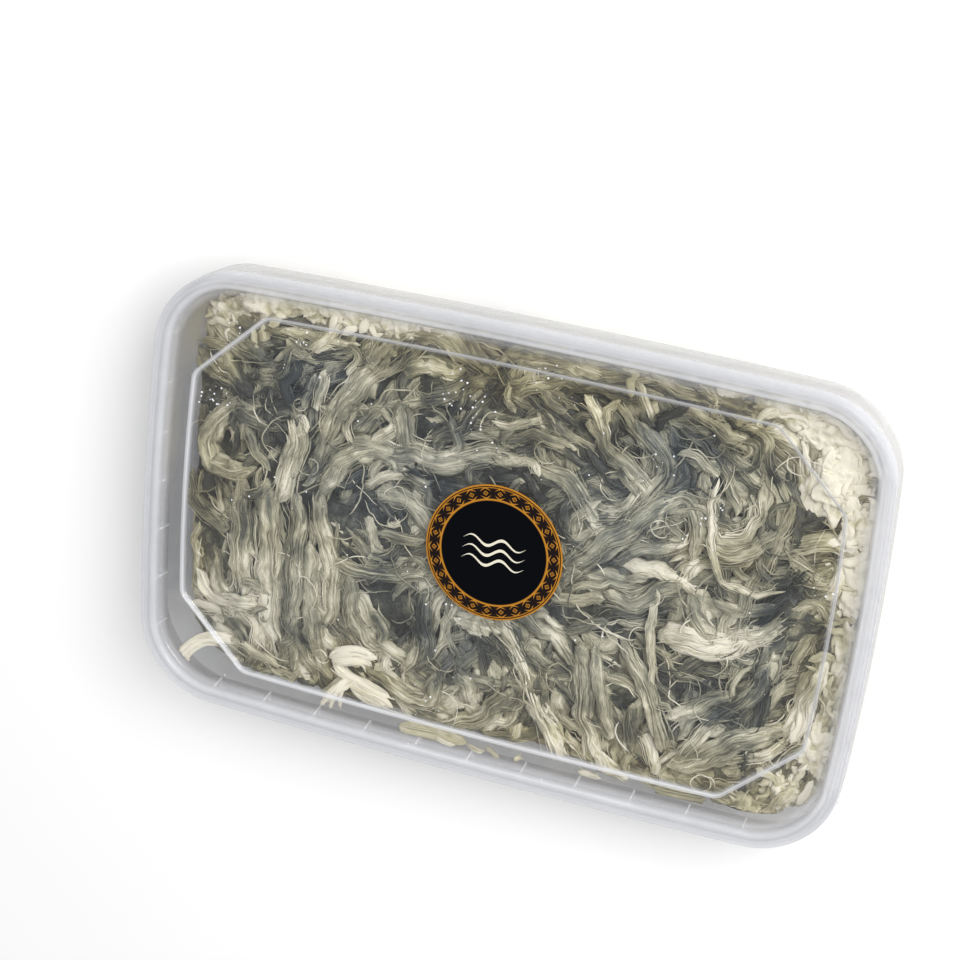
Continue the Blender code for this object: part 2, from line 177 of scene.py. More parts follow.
# The pale strand that leans from the heap into a corner, and the pale shreds at the front, each with its heights
PALE_SHREDS = (
    (4.6, 1.1, ((-109.2, -69.2, -8.4), (-108.0, -66.4, -8.6), (-105.6, -62.4, -9.2), (-101.6, -58.6, -10.4), (-96.4, -56.6, -12.4), (-89.0, -57.5, -15.5))),
    (2.2, 1.15, ((-107.6, -70.6, -8.8), (-106.4, -66.8, -8.4), (-103.4, -62.2, -8.8), (-99.4, -58.8, -10.2), (-94.0, -58.0, -12.6))),
    (1.6, 1.15, ((-110.0, -67.0, -9.0), (-107.4, -63.0, -9.0), (-103.0, -58.6, -9.8), (-98.0, -55.6, -11.6))),
    (4.4, 1.0, ((-53.6, -52.2, -10.0), (-49.2, -48.6, -9.2), (-43.4, -46.8, -9.2), (-37.2, -48.4, -10.4))),
    (4.2, 0.94, ((-53.0, -53.8, -10.6), (-48.6, -51.2, -9.4), (-42.6, -49.8, -9.6), (-38.6, -51.8, -11.0))),
    (4.4, 0.98, ((-53.0, -52.6, -11.2), (-49.2, -55.8, -10.2), (-43.4, -57.6, -10.2), (-38.0, -59.4, -10.6), (-31.8, -62.0, -11.8))),
    (3.6, 0.9, ((-49.8, -53.8, -11.2), (-46.2, -58.4, -10.6), (-41.2, -60.8, -10.6), (-36.0, -62.2, -11.0), (-30.2, -65.4, -12.0))),
    (3.6, 1.02, ((-43.8, -56.2, -10.6), (-48.2, -60.6, -9.8), (-51.2, -64.0, -9.4), (-54.0, -68.4, -9.6))),
    (2.6, 0.9, ((-46.4, -60.4, -11.2), (-41.6, -63.6, -11.0), (-36.2, -64.8, -11.2), (-31.2, -63.6, -11.8))),
    (1.5, 1.1, ((-49.8, -62.6, -9.0), (-52.8, -66.0, -8.8), (-55.2, -70.4, -9.4))),
    (1.4, 1.2, ((-49.0, -62.6, -9.2), (-50.8, -66.6, -8.8), (-52.0, -70.4, -9.6))),
    (1.2, 1.2, ((-47.6, -62.0, -9.6), (-48.6, -66.0, -9.4), (-48.4, -69.6, -10.0))),
)

# Bits that cling to the front wall under the lid, alike
LOW_BITS = (
    (6.5, 0.64, ((-27.0, -70.2, -9.0), (-20.0, -70.2, -9.6), (-12.0, -70.2, -10.0), (-3.0, -70.0, -10.2))),
    (1.5, 0.8, ((-3.0, -70.2, -9.4), (0.0, -70.4, -8.2), (2.5, -70.4, -7.6), (4.0, -70.4, -8.4))),
    (1.3, 0.8, ((3.0, -70.0, -11.0), (6.0, -70.4, -9.6), (8.5, -70.4, -7.6), (9.5, -70.4, -7.0))),
    (1.2, 0.85, ((-14.0, -70.0, -8.6), (-11.0, -70.4, -7.6), (-8.0, -70.4, -7.0), (-6.0, -70.4, -7.6))),
    (2.2, 0.72, ((14.0, -70.0, -8.0), (15.0, -70.2, -9.4), (15.5, -70.2, -11.0))),
    (2.4, 0.75, ((35.0, -69.5, -10.0), (39.0, -70.0, -10.4), (43.0, -70.0, -10.2))),
    (4.0, 0.6, ((60.0, -68.5, -11.0), (66.0, -69.0, -11.4), (72.0, -69.0, -11.8), (78.0, -68.5, -12.0))),
)

# Places where the heap is darker or paler than its strands alone: place, radius, change of tone
TONE_PLACES = (
    ((-84, 34), 14, -0.20),
    ((-15, 47), 15, -0.26),
    ((14, 48), 12, -0.18),
    ((32, 54), 9, -0.10),
    ((61, 60), 15, -0.34),
    ((91, 10), 13, -0.46),
    ((-38, -14), 12, 0.02),
    ((-20, -36), 11, -0.18),
    ((31, -36), 9, -0.22),
    ((46, -33), 9, 0.24),
    ((54, 15), 8, 0.50),
    ((34, -5), 12, 0.30),
    ((64, 2), 9, -0.26),
    ((-80, -34), 12, 0.20),
    ((-45, -44), 10, 0.20),
    ((75, -9), 11, 0.46),
    ((44, -64), 12, 0.28),
    ((99, 54), 19, 0.28),
    ((110, 20), 12, 0.20),
    ((110, -6), 10, 0.05),
    ((107, -42), 12, 0.34),
    ((-36, -5), 8, -0.14),
    ((50, 44), 9, -0.16),
    ((82, -71), 8, -0.16),
    ((-57, 67), 12, 0.20),
    ((-56, 50), 9, -0.24),
    ((-42, 53), 9, -0.18),
    ((-93, 10), 9, -0.16),
    ((-53, 19), 9, -0.14),
    ((-36, 9), 10, 0.20),
    ((38, 16), 12, 0.18),
    ((84, 37), 11, -0.24),
    ((-113, 32), 8, -0.15),
    ((-114, 8), 10, -0.20),
    ((-100, -46), 16, 0.5),
    ((-81, -50), 10, 0.24),
    ((-6, -62), 13, 0.28),
    ((-104, 50), 10, 0.26),
    ((-84, -2), 10, -0.18),
    ((69, 19), 8, 0.16),
    ((62, -43), 9, 0.16),
    ((16, -40), 8, 0.2),
    ((0, -44), 8, -0.16),
    ((-28, -69), 9, 0.20),
    ((88, 60), 12, 0.30),
    ((82, -58), 10, 0.10),
    ((61, -26), 8, -0.12),
)

# Thinner bundles that lie over and between them, given alike
THIN_STRANDS = (
    (3.0, 0.25, ((-108, 47), (-103, 48), (-98, 46))),
    (2.5, 0.6, ((-79, 40), (-77, 45), (-76, 50), (-73, 52))),
    (3.0, 0.65, ((-70, 32), (-68, 40), (-67, 46))),
    (3.5, 0.85, ((-65, 33), (-64, 42), (-63, 48))),
    (3.0, 0.55, ((-90, 22), (-85, 14), (-80, 8))),
    (3.5, 0.85, ((-80, 57), (-70, 56), (-62, 57), (-52, 58))),
    (2.5, 0.8, ((-47, 38), (-53, 36), (-55, 30), (-52, 24))),
    (4.0, 0.6, ((-20, 68), (-14, 63), (-10, 60))),
    (2.5, 0.85, ((-8, 42), (0, 43), (5, 45), (8, 47))),
    (2.5, 0.7, ((-2, 56), (-1, 50), (1, 47))),
    (3.5, 0.85, ((22, 56), (27, 50), (29, 44), (30, 41))),
    (3.0, 0.5, ((-20, 40), (-17, 33), (-20, 28))),
    (3.0, 0.5, ((-42, -4), (-33, -3), (-24, -3))),
    (3.5, 0.75, ((79, 40), (80, 30), (77, 24), (70, 21), (66, 22))),
    (2.0, 0.9, ((66, 40), (65, 33), (66, 25), (67, 18), (70, 11), (75, 6), (84, 5), (92, 9))),
    (3.0, 0.85, ((95, 3), (100, 6), (105, 2))),
    (2.5, 0.85, ((52, 44), (58, 45), (63, 43), (66, 40))),
    (2.5, 0.4, ((68, 48), (72, 53), (77, 50), (75, 44), (70, 43))),
    (2.5, 0.45, ((69, 55), (74, 57), (78, 54), (77, 47))),
    (2.0, 0.6, ((-104, -15), (-106, -22), (-103, -27))),
    (3.0, 0.5, ((-97, -25), (-95, -33), (-93, -38))),
    (3.5, 0.6, ((-90, -56), (-82, -56), (-72, -59))),
    (3.0, 0.9, ((-47, -58), (-51, -62), (-54, -68))),
    (3.0, 0.5, ((-40, -32), (-35, -37), (-36, -43))),
    (4.0, 0.85, ((-24, -70), (-15, -71), (-8, -67))),
    (5.0, 0.6, ((-8, -45), (-5, -50), (-3, -56))),
    (4.0, 0.55, ((35, -25), (38, -35), (42, -45), (45, -55))),
    (4.0, 0.5, ((20, -12), (28, -10), (36, -8))),
    (4.0, 0.45, ((24, -22), (30, -20), (38, -15))),
    (2.5, 0.8, ((52, 0), (52, -10), (53, -20), (56, -32))),
    (4.0, 0.85, ((40, -60), (44, -66), (52, -68))),
    (4.0, 0.2, ((52, -58), (50, -48), (50, -40))),
    (4.0, 0.6, ((70, 0), (80, 0), (88, 4))),
    (4.5, 0.8, ((103, 10), (106, 15), (108, 20))),
    (5.0, 0.85, ((107, -10), (104, -25), (100, -40))),
    (3.5, 0.9, ((-11, -24), (-4, -26), (1, -29))),
)

# Pale lumps: place, then half their length, width and height, how far they stand up, and how pale they are
LUMPS = (
    ((-42, -55), (7.0, 4.0, 2.6), 0.8, 0.95),
    ((-5, -26), (7.5, 3.6, 3.0), 0.8, 0.97),
    ((101, 48), (9.0, 13.0, 3.2), 1.4, 1.2),
    ((96, 61), (9.0, 6.0, 3.0), 1.4, 1.15),
    ((82, 65), (9.0, 4.5, 2.8), 1.0, 0.8),
    ((110, 33), (5.5, 9.0, 3.2), 1.6, 1.15),
    ((111.5, 15), (4.5, 10.0, 3.2), 1.0, 1.08),
    ((112, -4), (4.5, 10.0, 3.2), 1.0, 0.82),
    ((111.5, -22), (4.5, 10.0, 3.2), 0.6, 0.8),
    ((109, -40), (5.5, 10.0, 3.2), 0.6, 1.08),
    ((102, -56), (7.0, 6.0, 3.0), 0.2, 0.92),
    ((90, -66), (8.0, 4.0, 3.0), 0.0, 0.75),
    ((-97, 60), (7.0, 4.0, 2.6), 1.0, 0.84),
    ((-84, 65), (9.0, 4.5, 3.0), 1.6, 0.96),
    ((-70, 67), (8.0, 4.0, 3.0), 1.4, 0.92),
    ((-54, 67), (9.5, 4.8, 3.0), 1.8, 1.06),
    ((-40, 67), (8.0, 4.8, 3.0), 1.8, 1.04),
    ((-24, 69), (6.0, 3.5, 2.6), 1.0, 0.85),
    ((11, 70), (9.0, 3.0, 2.6), 0.6, 0.75),
    ((37, 69), (9.0, 3.0, 2.6), 0.6, 0.72),
    ((63, 68), (10.0, 3.5, 2.6), 0.8, 0.8),
)

# The tab's raised edge on the front of the rim
TAB_START = -25.0
TAB_END = 58.0
TAB_INSET = 3.8
TAB_Z = -1.9
TAB_RADIUS = 0.2
TAB_CUTS = (-20.0, 1.0, 26.0)

# Condensation: a patch's middle, its spread and how many drops it has
DEW_SEED = 3
DEW_PATCHES = (
    (-99, 32, 2.6, 22),
    (-15, 50, 5.0, 26),
    (-71, 53, 4.0, 12),
    (-9, 40, 3.5, 12),
    (105, 11, 2.5, 6),
    (-92, 56, 3.0, 8),
    (13, 61, 4.0, 12),
    (63, 27, 4.0, 10),
    (49, 40, 4.0, 8),
    (-88, -2, 2.5, 6),
    (-16, -52, 4.0, 8),
    (0, 0, 48.0, 70),
)

FLOOR_SIZE = 6.0
EYE = (0.16707, 0.25065, 0.59578)
EYE_TURN = (-19.095, 19.474, 6.382)
LENS = 76.0875


def world(point):
    return (point[0] * MM, point[1] * MM, (point[2] + DEPTH) * MM)


# Node trees


def put(tree, kind, inputs=None, **settings):
    """Adds a node. Each input is a value or the output of another node."""
    node = tree.nodes.new(kind)
    for name, value in settings.items():
        setattr(node, name, value)
    for key, value in (inputs or {}).items():
        if isinstance(value, bpy.types.NodeSocket):
            tree.links.new(value, node.inputs[key])
        else:
            node.inputs[key].default_value = value
    return node


def calc(tree, operation, a, b=0.0, c=0.0, clamp=False):
    """A Math node's result."""
    return put(tree, "ShaderNodeMath", {0: a, 1: b, 2: c}, operation=operation, use_clamp=clamp).outputs[0]


def vec(tree, operation, a, b=(0.0, 0.0, 0.0), scale=1.0):
    """A Vector Math node's vector."""
    return put(tree, "ShaderNodeVectorMath", {0: a, 1: b, 3: scale}, operation=operation).outputs[0]


def new_tree(name, inputs):
    """A geometry tree with its named inputs: (name, kind, default)."""
    tree = bpy.data.node_groups.new(name, "GeometryNodeTree")
    face = tree.interface
    face.new_socket("Geometry", in_out="INPUT", socket_type="NodeSocketGeometry")
    face.new_socket("Geometry", in_out="OUTPUT", socket_type="NodeSocketGeometry")
    for label, kind, default in inputs:
        socket = face.new_socket(label, in_out="INPUT", socket_type="NodeSocket" + kind)
        if default is not None:
            socket.default_value = default
    return tree, tree.nodes.new("NodeGroupInput").outputs


def close_tree(tree, geometry, finish):
    """Ends a tree: instances made real, the finish set, and the result put out."""
    smooth = put(tree, "GeometryNodeSetShadeSmooth", {"Geometry": geometry})
    real = put(tree, "GeometryNodeRealizeInstances", {"Geometry": smooth.outputs[0]})
    dressed = put(tree, "GeometryNodeSetMaterial", {"Geometry": real.outputs[0], "Material": finish})
    put(tree, "NodeGroupOutput", {0: dressed.outputs[0]})


def grow(name, seed_mesh, tree, values):
    """Runs a tree on a mesh and returns the result as an object of plain mesh."""
    holder = bpy.data.objects.new(name + "_seed", seed_mesh)
    bpy.context.scene.collection.objects.link(holder)
    modifier = holder.modifiers.new("grow", "NODES")
    modifier.node_group = tree
    for item in tree.interface.items_tree:
        if item.in_out == "INPUT" and item.name in values:
            modifier[item.identifier] = values[item.name]
    graph = bpy.context.evaluated_depsgraph_get()
    made = bpy.data.meshes.new_from_object(holder.evaluated_get(graph))
    holder.modifiers.remove(modifier)
    bpy.data.objects.remove(holder)
    made.name = name
    return add_object(name, made)


def add_object(name, mesh, finish=None):
    if finish:
        mesh.materials.append(finish)
    made = bpy.data.objects.new(name, mesh)
    bpy.context.scene.collection.objects.link(made)
    return made


# Finishes


def new_finish(name):
    finish = bpy.data.materials.new(name)
    finish.use_nodes = True
    finish.node_tree.nodes.clear()
    return finish, finish.node_tree


# The colour the clear tint darkens to: a faint tint on every wall, and painted shade on the left wall.
SHADED_WALL_TINT = (0.65, 0.658, 0.672, 1.0)


def clear_plastic(name, tint, milk_colour, milk_edge, roughness, cloudy, painted_glow=0.0):
    """Thin clear plastic, milky where the piece's haze says so and where it is seen edge on.

    Its darker tint is painted shade where the piece says so, most on the left wall, over a faint real tint of the
    wall; its whey says where it is filmed with it. The glow is painted light that makes cut edges read pale.
    """
    finish, tree = new_finish(name)
    place = put(tree, "ShaderNodeTexCoord").outputs["Object"]
    haze = put(tree, "ShaderNodeAttribute", attribute_name="haze").outputs["Fac"]
    facing = put(tree, "ShaderNodeLayerWeight", {"Blend": 0.5}).outputs["Facing"]
    cloud = put(tree, "ShaderNodeTexNoise", {"Vector": place, "Scale": 60.0, "Detail": 3.0}).outputs["Fac"]
    milk = calc(tree, "MULTIPLY_ADD", calc(tree, "POWER", facing, 2.2), milk_edge, haze)
    milk = calc(tree, "MULTIPLY", milk, calc(tree, "MULTIPLY_ADD", cloud, cloudy, 1 - cloudy / 2), clamp=True)
    # Darker transmission where the piece says so: painted shade, most on the left wall.
    tint_and_painted_shade = put(tree, "ShaderNodeAttribute", attribute_name="tint_and_painted_shade").outputs["Fac"]
    tints = put(tree, "ShaderNodeMix", {0: tint_and_painted_shade, 6: tint, 7: SHADED_WALL_TINT}, data_type="RGBA").outputs[2]
    clear = put(tree, "ShaderNodeBsdfTransparent", {"Color": tints}).outputs[0]
    whey = put(tree, "ShaderNodeAttribute", attribute_name="whey").outputs["Fac"]
    film = {0: whey, 6: milk_colour, 7: (0.56, 0.51, 0.36, 1.0)}
    milk_colour = put(tree, "ShaderNodeMix", film, data_type="RGBA").outputs[2]
    matt = put(tree, "ShaderNodeBsdfDiffuse", {"Color": milk_colour}).outputs[0]
    through = put(tree, "ShaderNodeBsdfTranslucent", {"Color": milk_colour}).outputs[0]
    body = put(tree, "ShaderNodeMixShader", {0: 0.4, 1: matt, 2: through}).outputs[0]
    # Painted glow: an emission, though no lamp, that makes the cut edges read pale.
    if painted_glow:
        glow_shader = put(tree, "ShaderNodeEmission", {"Color": (1.0, 1.0, 1.0, 1.0), "Strength": painted_glow}).outputs[0]
        body = put(tree, "ShaderNodeAddShader", {0: body, 1: glow_shader}).outputs[0]
    thin = put(tree, "ShaderNodeMixShader", {0: milk, 1: clear, 2: body}).outputs[0]
    ripple = put(tree, "ShaderNodeTexNoise", {"Vector": place, "Scale": 45.0, "Detail": 1.0}).outputs["Fac"]
    bump = put(tree, "ShaderNodeBump", {"Height": ripple, "Strength": 0.025, "Distance": 0.002}).outputs[0]
    gloss = put(tree, "ShaderNodeBsdfGlossy", {"Roughness": roughness, "Normal": bump}).outputs[0]
    shine = calc(tree, "MULTIPLY_ADD", calc(tree, "POWER", facing, 4.0), 0.8, 0.03)
    whole = put(tree, "ShaderNodeMixShader", {0: shine, 1: thin, 2: gloss}).outputs[0]
    put(tree, "ShaderNodeOutputMaterial", {0: whole})
    return finish


def ramp(tree, value, stops):
    """A colour ramp through (place, colour) stops."""
    node = put(tree, "ShaderNodeValToRGB", {0: value})
    bar = node.color_ramp.elements
    while len(bar) < len(stops):
        bar.new(0.5)
    for mark, (place, colour) in zip(bar, stops):
        mark.position = place
        mark.color = (*colour, 1.0)
    return node.outputs[0]


COOL_TONES = (
    (0.0, (0.026, 0.036, 0.042)),
    (0.25, (0.086, 0.102, 0.103)),
    (0.5, (0.275, 0.280, 0.225)),
    (0.75, (0.520, 0.506, 0.390)),
    (1.0, (0.860, 0.825, 0.680)),
)
WARM_TONES = (
    (0.0, (0.060, 0.055, 0.036)),
    (0.25, (0.168, 0.152, 0.082)),
    (0.5, (0.365, 0.330, 0.182)),
    (0.75, (0.640, 0.585, 0.370)),
    (1.0, (0.950, 0.895, 0.720)),
)


def cheese_finish(name, contrast):
    """Moist fibrous cheese. Streaks run along each strand, by the strand's own coordinates in millimetres."""
    finish, tree = new_finish(name)
    fibre = put(tree, "ShaderNodeAttribute", attribute_name="fibre").outputs["Vector"]
    tone = put(tree, "ShaderNodeAttribute", attribute_name="tone").outputs["Fac"]
    warm = put(tree, "ShaderNodeAttribute", attribute_name="warm").outputs["Fac"]
    place = put(tree, "ShaderNodeTexCoord").outputs["Object"]
    long = vec(tree, "MULTIPLY", fibre, (1.0, 1.0, 0.10))
    fine = put(tree, "ShaderNodeTexNoise", {"Vector": long, "Scale": 3.2, "Detail": 2.0}).outputs["Fac"]
    broad = put(tree, "ShaderNodeTexNoise", {"Vector": long, "Scale": 0.55, "Detail": 3.0}).outputs["Fac"]
    patch = put(tree, "ShaderNodeTexNoise", {"Vector": place, "Scale": 75.0, "Detail": 3.0}).outputs["Fac"]
    broad = calc(tree, "MULTIPLY", calc(tree, "SUBTRACT", broad, 0.5), 1.0)
    streak = calc(tree, "MULTIPLY_ADD", calc(tree, "SUBTRACT", fine, 0.5), 0.8, broad)
    streak = calc(tree, "MULTIPLY_ADD", calc(tree, "SUBTRACT", patch, 0.5), 1.4, streak)
    value = calc(tree, "MULTIPLY_ADD", streak, contrast, tone, clamp=True)
    warmth = put(tree, "ShaderNodeTexNoise", {"Vector": place, "Scale": 30.0, "Detail": 1.0}).outputs["Fac"]
    warmth = calc(tree, "MULTIPLY_ADD", calc(tree, "SUBTRACT", warmth, 0.5), 1.6, warm, clamp=True)
    cool_warm = {0: warmth, 6: ramp(tree, value, COOL_TONES), 7: ramp(tree, value, WARM_TONES)}
    colour = put(tree, "ShaderNodeMix", cool_warm, data_type="RGBA").outputs[2]
    bump = put(tree, "ShaderNodeBump", {"Height": streak, "Strength": 0.6, "Distance": 0.0006}).outputs[0]
    wet = put(tree, "ShaderNodeMapRange", {"Value": patch, 1: 0.3, 2: 0.7, 3: 0.34, 4: 0.6}).outputs[0]
    shader = put(
        tree,
        "ShaderNodeBsdfPrincipled",
        {"Base Color": colour, "Roughness": wet, "Normal": bump, "Specular IOR Level": 0.4},
    )
    put(tree, "ShaderNodeOutputMaterial", {0: shader.outputs[0]})
    return finish


# The tub, the lid and the label


def around(quarter, bow):
    """A closed loop from its quarter over +X and +Y, its sides divided and bowed out."""
    corners = (
        quarter,
        [(-x, y) for x, y in reversed(quarter)],
        [(-x, -y) for x, y in quarter],
        [(x, -y) for x, y in reversed(quarter)],
    )
    points = []
    for turn, corner in enumerate(corners):
        points += corner
        steps = SHORT_STEPS if turn % 2 else LONG_STEPS
        start, end = corner[-1], corners[(turn + 1) % 4][0]
        for k in range(1, steps):
            share = k / steps
            points.append((start[0] + (end[0] - start[0]) * share, start[1] + (end[1] - start[1]) * share))
    half_x, half_y = quarter[0][0], quarter[-1][1]
    return [
        (
            x + x / half_x * bow * SHORT_SIDE_BOW * (1 - (y / half_y) ** 2),
            y + y / half_y * bow * LONG_SIDE_BOW * (1 - (x / half_x) ** 2),
        )
        for x, y in points
    ]


def arc(centre, radius, start, end, steps):
    angles = [math.radians(start + (end - start) * k / steps) for k in range(steps + 1)]
    return [(centre[0] + radius * math.cos(a), centre[1] + radius * math.sin(a)) for a in angles]


def level(inset, z, bow=1.0):
    """The tub's outline at one height."""
    radius = CORNER_RADIUS - inset
    centre = (LENGTH / 2 - CORNER_RADIUS, WIDTH / 2 - CORNER_RADIUS)
    return [(x, y, z) for x, y in around(arc(centre, radius, 0, 90, CORNER_STEPS), bow)]


def octagon(grow_by, z):
    """The eight-sided step at one height, with as many points as the outline."""
    half_x, half_y = OCTAGON_HALF_X + grow_by, OCTAGON_HALF_Y + grow_by
    cut = OCTAGON_CUT + grow_by * (2 - math.sqrt(2))
    run = OCTAGON_ROUND * math.tan(math.radians(22.5))
    steps = CORNER_STEPS // 2
    quarter = arc((half_x - OCTAGON_ROUND, half_y - cut - run), OCTAGON_ROUND, 0, 45, steps)
    quarter += arc((half_x - cut - run, half_y - OCTAGON_ROUND), OCTAGON_ROUND, 45, 90, steps)
    return [(x, y, z) for x, y in around(quarter, 1.0)]


def wall_at(z):
    share = min(max((WEB_TOP - z) / (WEB_TOP + DEPTH), 0.0), 1.0)
    return WALL_INSET + WALL_DRAFT * share, 1 + (BASE_BOW - 1) * share


def rounded(profile, steps=4):
    """A profile of (inset, z, radius, haze) corners as (inset, z, haze) points, each corner rounded by its radius."""
    points = []
    for k, (u, z, radius, haze) in enumerate(profile):
        here = Vector((u, z))
        if not radius or k in (0, len(profile) - 1):
            points.append((u, z, haze))
            continue
        before = Vector(profile[k - 1][:2]) - here
        after = Vector(profile[k + 1][:2]) - here
        reach = min(radius, before.length * 0.48, after.length * 0.48)
        start, end = here + before.normalized() * reach, here + after.normalized() * reach
        for s in range(steps + 1):
            t = s / steps
            spot = start * (1 - t) ** 2 + here * 2 * t * (1 - t) + end * t**2
            points.append((spot.x, spot.y, haze))
    return points


def loft(loops, hazes=None, film=None):
    """Skins loops of points that run round alike. The first and the last close the ends.

    The film gives each loop's share of the darker wall tint, which is painted shade on the left wall, and whether it
    has whey on it.
    """
    shape = bmesh.new()
    layer = shape.verts.layers.float.new("haze") if hazes else None
    whey = shape.verts.layers.float.new("whey") if film else None
    tint_and_painted_shade = shape.verts.layers.float.new("tint_and_painted_shade") if film else None
    rings = [[shape.verts.new(world(point)) for point in loop] for loop in loops]
    for k, haze in enumerate(hazes or ()):
        for vertex, point in zip(rings[k], loops[k]):
            vertex[layer] = haze
            if film:
                vertex[tint_and_painted_shade] = film[k][0] * tint_and_shade_at(point[0], point[1])
            if film and film[k][1]:
                vertex[whey] = whey_at(*point)
                vertex[layer] = haze + 0.6 * vertex[whey]
    for low, high in zip(rings, rings[1:]):
        for k in range(len(low)):
            after = (k + 1) % len(low)
            shape.faces.new((low[k], low[after], high[after], high[k]))
    shape.faces.new(rings[0])
    shape.faces.new(rings[-1])
    return shape


def finish_shape(name, shape, finish, sharp=38.0):
    """A closed shape as a smooth-shaded object, its faces pointing out."""
    bmesh.ops.recalc_face_normals(shape, faces=shape.faces)
    mesh = bpy.data.meshes.new(name)
    shape.to_mesh(mesh)
    shape.free()
    mesh.shade_smooth()
    mesh.set_sharp_from_angle(angle=math.radians(sharp))
    return add_object(name, mesh, finish)


def whey_at(x, y, z):
    """How much whey has dried on the inner wall: most in the corner at the far left."""
    patch = 0.5 + noise.noise(Vector((x / 22, y / 22, z / 12)))
    return min(1.0, (0.2 + 0.8 * ease(y - x * 0.35, 20, 80)) * patch * 1.3)


def tint_and_shade_at(x, y):
    """How dark the wall's clear tint is: a faint tint everywhere, and painted shade most at the left wall."""
    return 0.3 + 0.7 * ease(-x, 97, 108) * ease(y, -62, -34)


def make_tub(finish):
    base = -DEPTH
    foot_inset = wall_at(base)[0]
    profile = [
        (foot_inset + WALL + 6.5, base + WALL, 0.0, 0.02),
        (foot_inset + WALL + 0.2, base + WALL, 4.4, 0.04),
        (WALL_INSET + WALL + 2.7, -28.0, 0.0, 0.05),
        (WALL_INSET + WALL + 1.3, -17.0, 0.0, 0.05),
        (WALL_INSET + WALL, WEB_TOP - WALL, 0.5, 0.05),
        (LIP_INSET + WALL, WEB_TOP, 0.5, 0.25),
        (LIP_INSET + WALL, LIP_TOP, 0.35, 0.25),
        (LIP_INSET, LIP_TOP, 0.35, 0.3),
        (LIP_INSET, WEB_TOP, 0.3, 0.2),
        (0.0, WEB_TOP, 0.5, 0.75),
        (COLLAR_DRAFT, COLLAR_FOOT, 0.3, 0.2),
        (COLLAR_DRAFT + COLLAR_THICKNESS, COLLAR_FOOT, 0.3, 0.05),
        (COLLAR_THICKNESS, WEB_TOP - WALL, 0.3, 0.05),
        (WALL_INSET, WEB_TOP - WALL, 0.4, 0.05),
        (foot_inset, base, 5.0, 0.05),
        (foot_inset + 7.0, base, 0.0, 0.02),
    ]
    loops, hazes, film = [], [], []
    for k, (inset, z, haze) in enumerate(rounded(profile)):
        bow = wall_at(z)[1] if inset > WALL_INSET - 0.3 or z < COLLAR_FOOT else 1.0
        loops.append(level(inset, z, bow))
        hazes.append(haze)
        walled = z < WEB_TOP - WALL and inset > COLLAR_DRAFT + COLLAR_THICKNESS
        # Wall rows take the darker tint, which is painted shade at the left wall.
        film.append((1.0 if walled else 0.0, z < WEB_TOP and k < INNER_ROWS))
    return finish_shape("clear_tub", loft(loops, hazes, film), finish)


def make_lid(finish):
    under = PANEL_TOP - SHEET
    low = [
        (-STEP_SLOPE - 1.5, under - STEP_DROP, 0.0, 0.005),
        (-STEP_SLOPE + 0.3, under - STEP_DROP, 0.4, 0.06),
        (0.3, under, 0.4, 0.06),
        (1.8, under, 0.0, 0.02),
    ]
    ring = [
        (PANEL_INSET + 2.0, under, 0.0, 0.03),
        (PANEL_INSET - SHEET, under, 0.5, 0.2),
        (RING_INNER_INSET - SHEET, -SHEET, 0.6, 0.2),
        (RING_INSET + SHEET, -SHEET, 0.7, 0.25),
        (RING_INSET + SHEET, RING_FOOT, 0.3, 0.3),
        (RING_INSET, RING_FOOT, 0.3, 0.6),
        (RING_INSET, 0.0, 1.3, 0.4),
        (RING_INSET + 1.6, 0.0, 0.2, 0.38),
        (RING_INSET + 1.9, -0.12, 0.2, 0.45),
        (RING_INSET + 2.4, -0.12, 0.2, 0.45),
        (RING_INSET + 2.7, 0.0, 0.2, 0.38),
        (RING_INNER_INSET - 0.3, 0.0, 0.8, 0.65),
        (PANEL_INSET, PANEL_TOP, 0.8, 0.25),
        (PANEL_INSET + 2.5, PANEL_TOP, 0.0, 0.03),
    ]
    # The step's slope is milky in its middle: a painted highlight, a pale line where the step catches the light.
    high = [
        (1.8, PANEL_TOP, 0.0, 0.02),
        (0.4, PANEL_TOP, 0.0, 0.03),
        (0.0, PANEL_TOP, 0.22, 0.55),
        (-0.35 * STEP_SLOPE, PANEL_TOP - 0.35 * STEP_DROP, 0.0, 0.85),
        (-0.65 * STEP_SLOPE, PANEL_TOP - 0.65 * STEP_DROP, 0.0, 0.65),
        (-STEP_SLOPE, PANEL_TOP - STEP_DROP, 0.2, 0.25),
        (-STEP_SLOPE - 0.4, PANEL_TOP - STEP_DROP, 0.0, 0.01),
        (-STEP_SLOPE - 2.0, PANEL_TOP - STEP_DROP, 0.0, 0.005),
    ]
    rows = [(octagon(u, z), haze) for u, z, haze in rounded(low)]
    rows += [(level(u, z), haze) for u, z, haze in rounded(ring, 5)]
    rows += [(octagon(u, z), haze) for u, z, haze in rounded(high)]
    loops, hazes = zip(*rows)
    return finish_shape("clear_lid", loft(loops, hazes), finish)


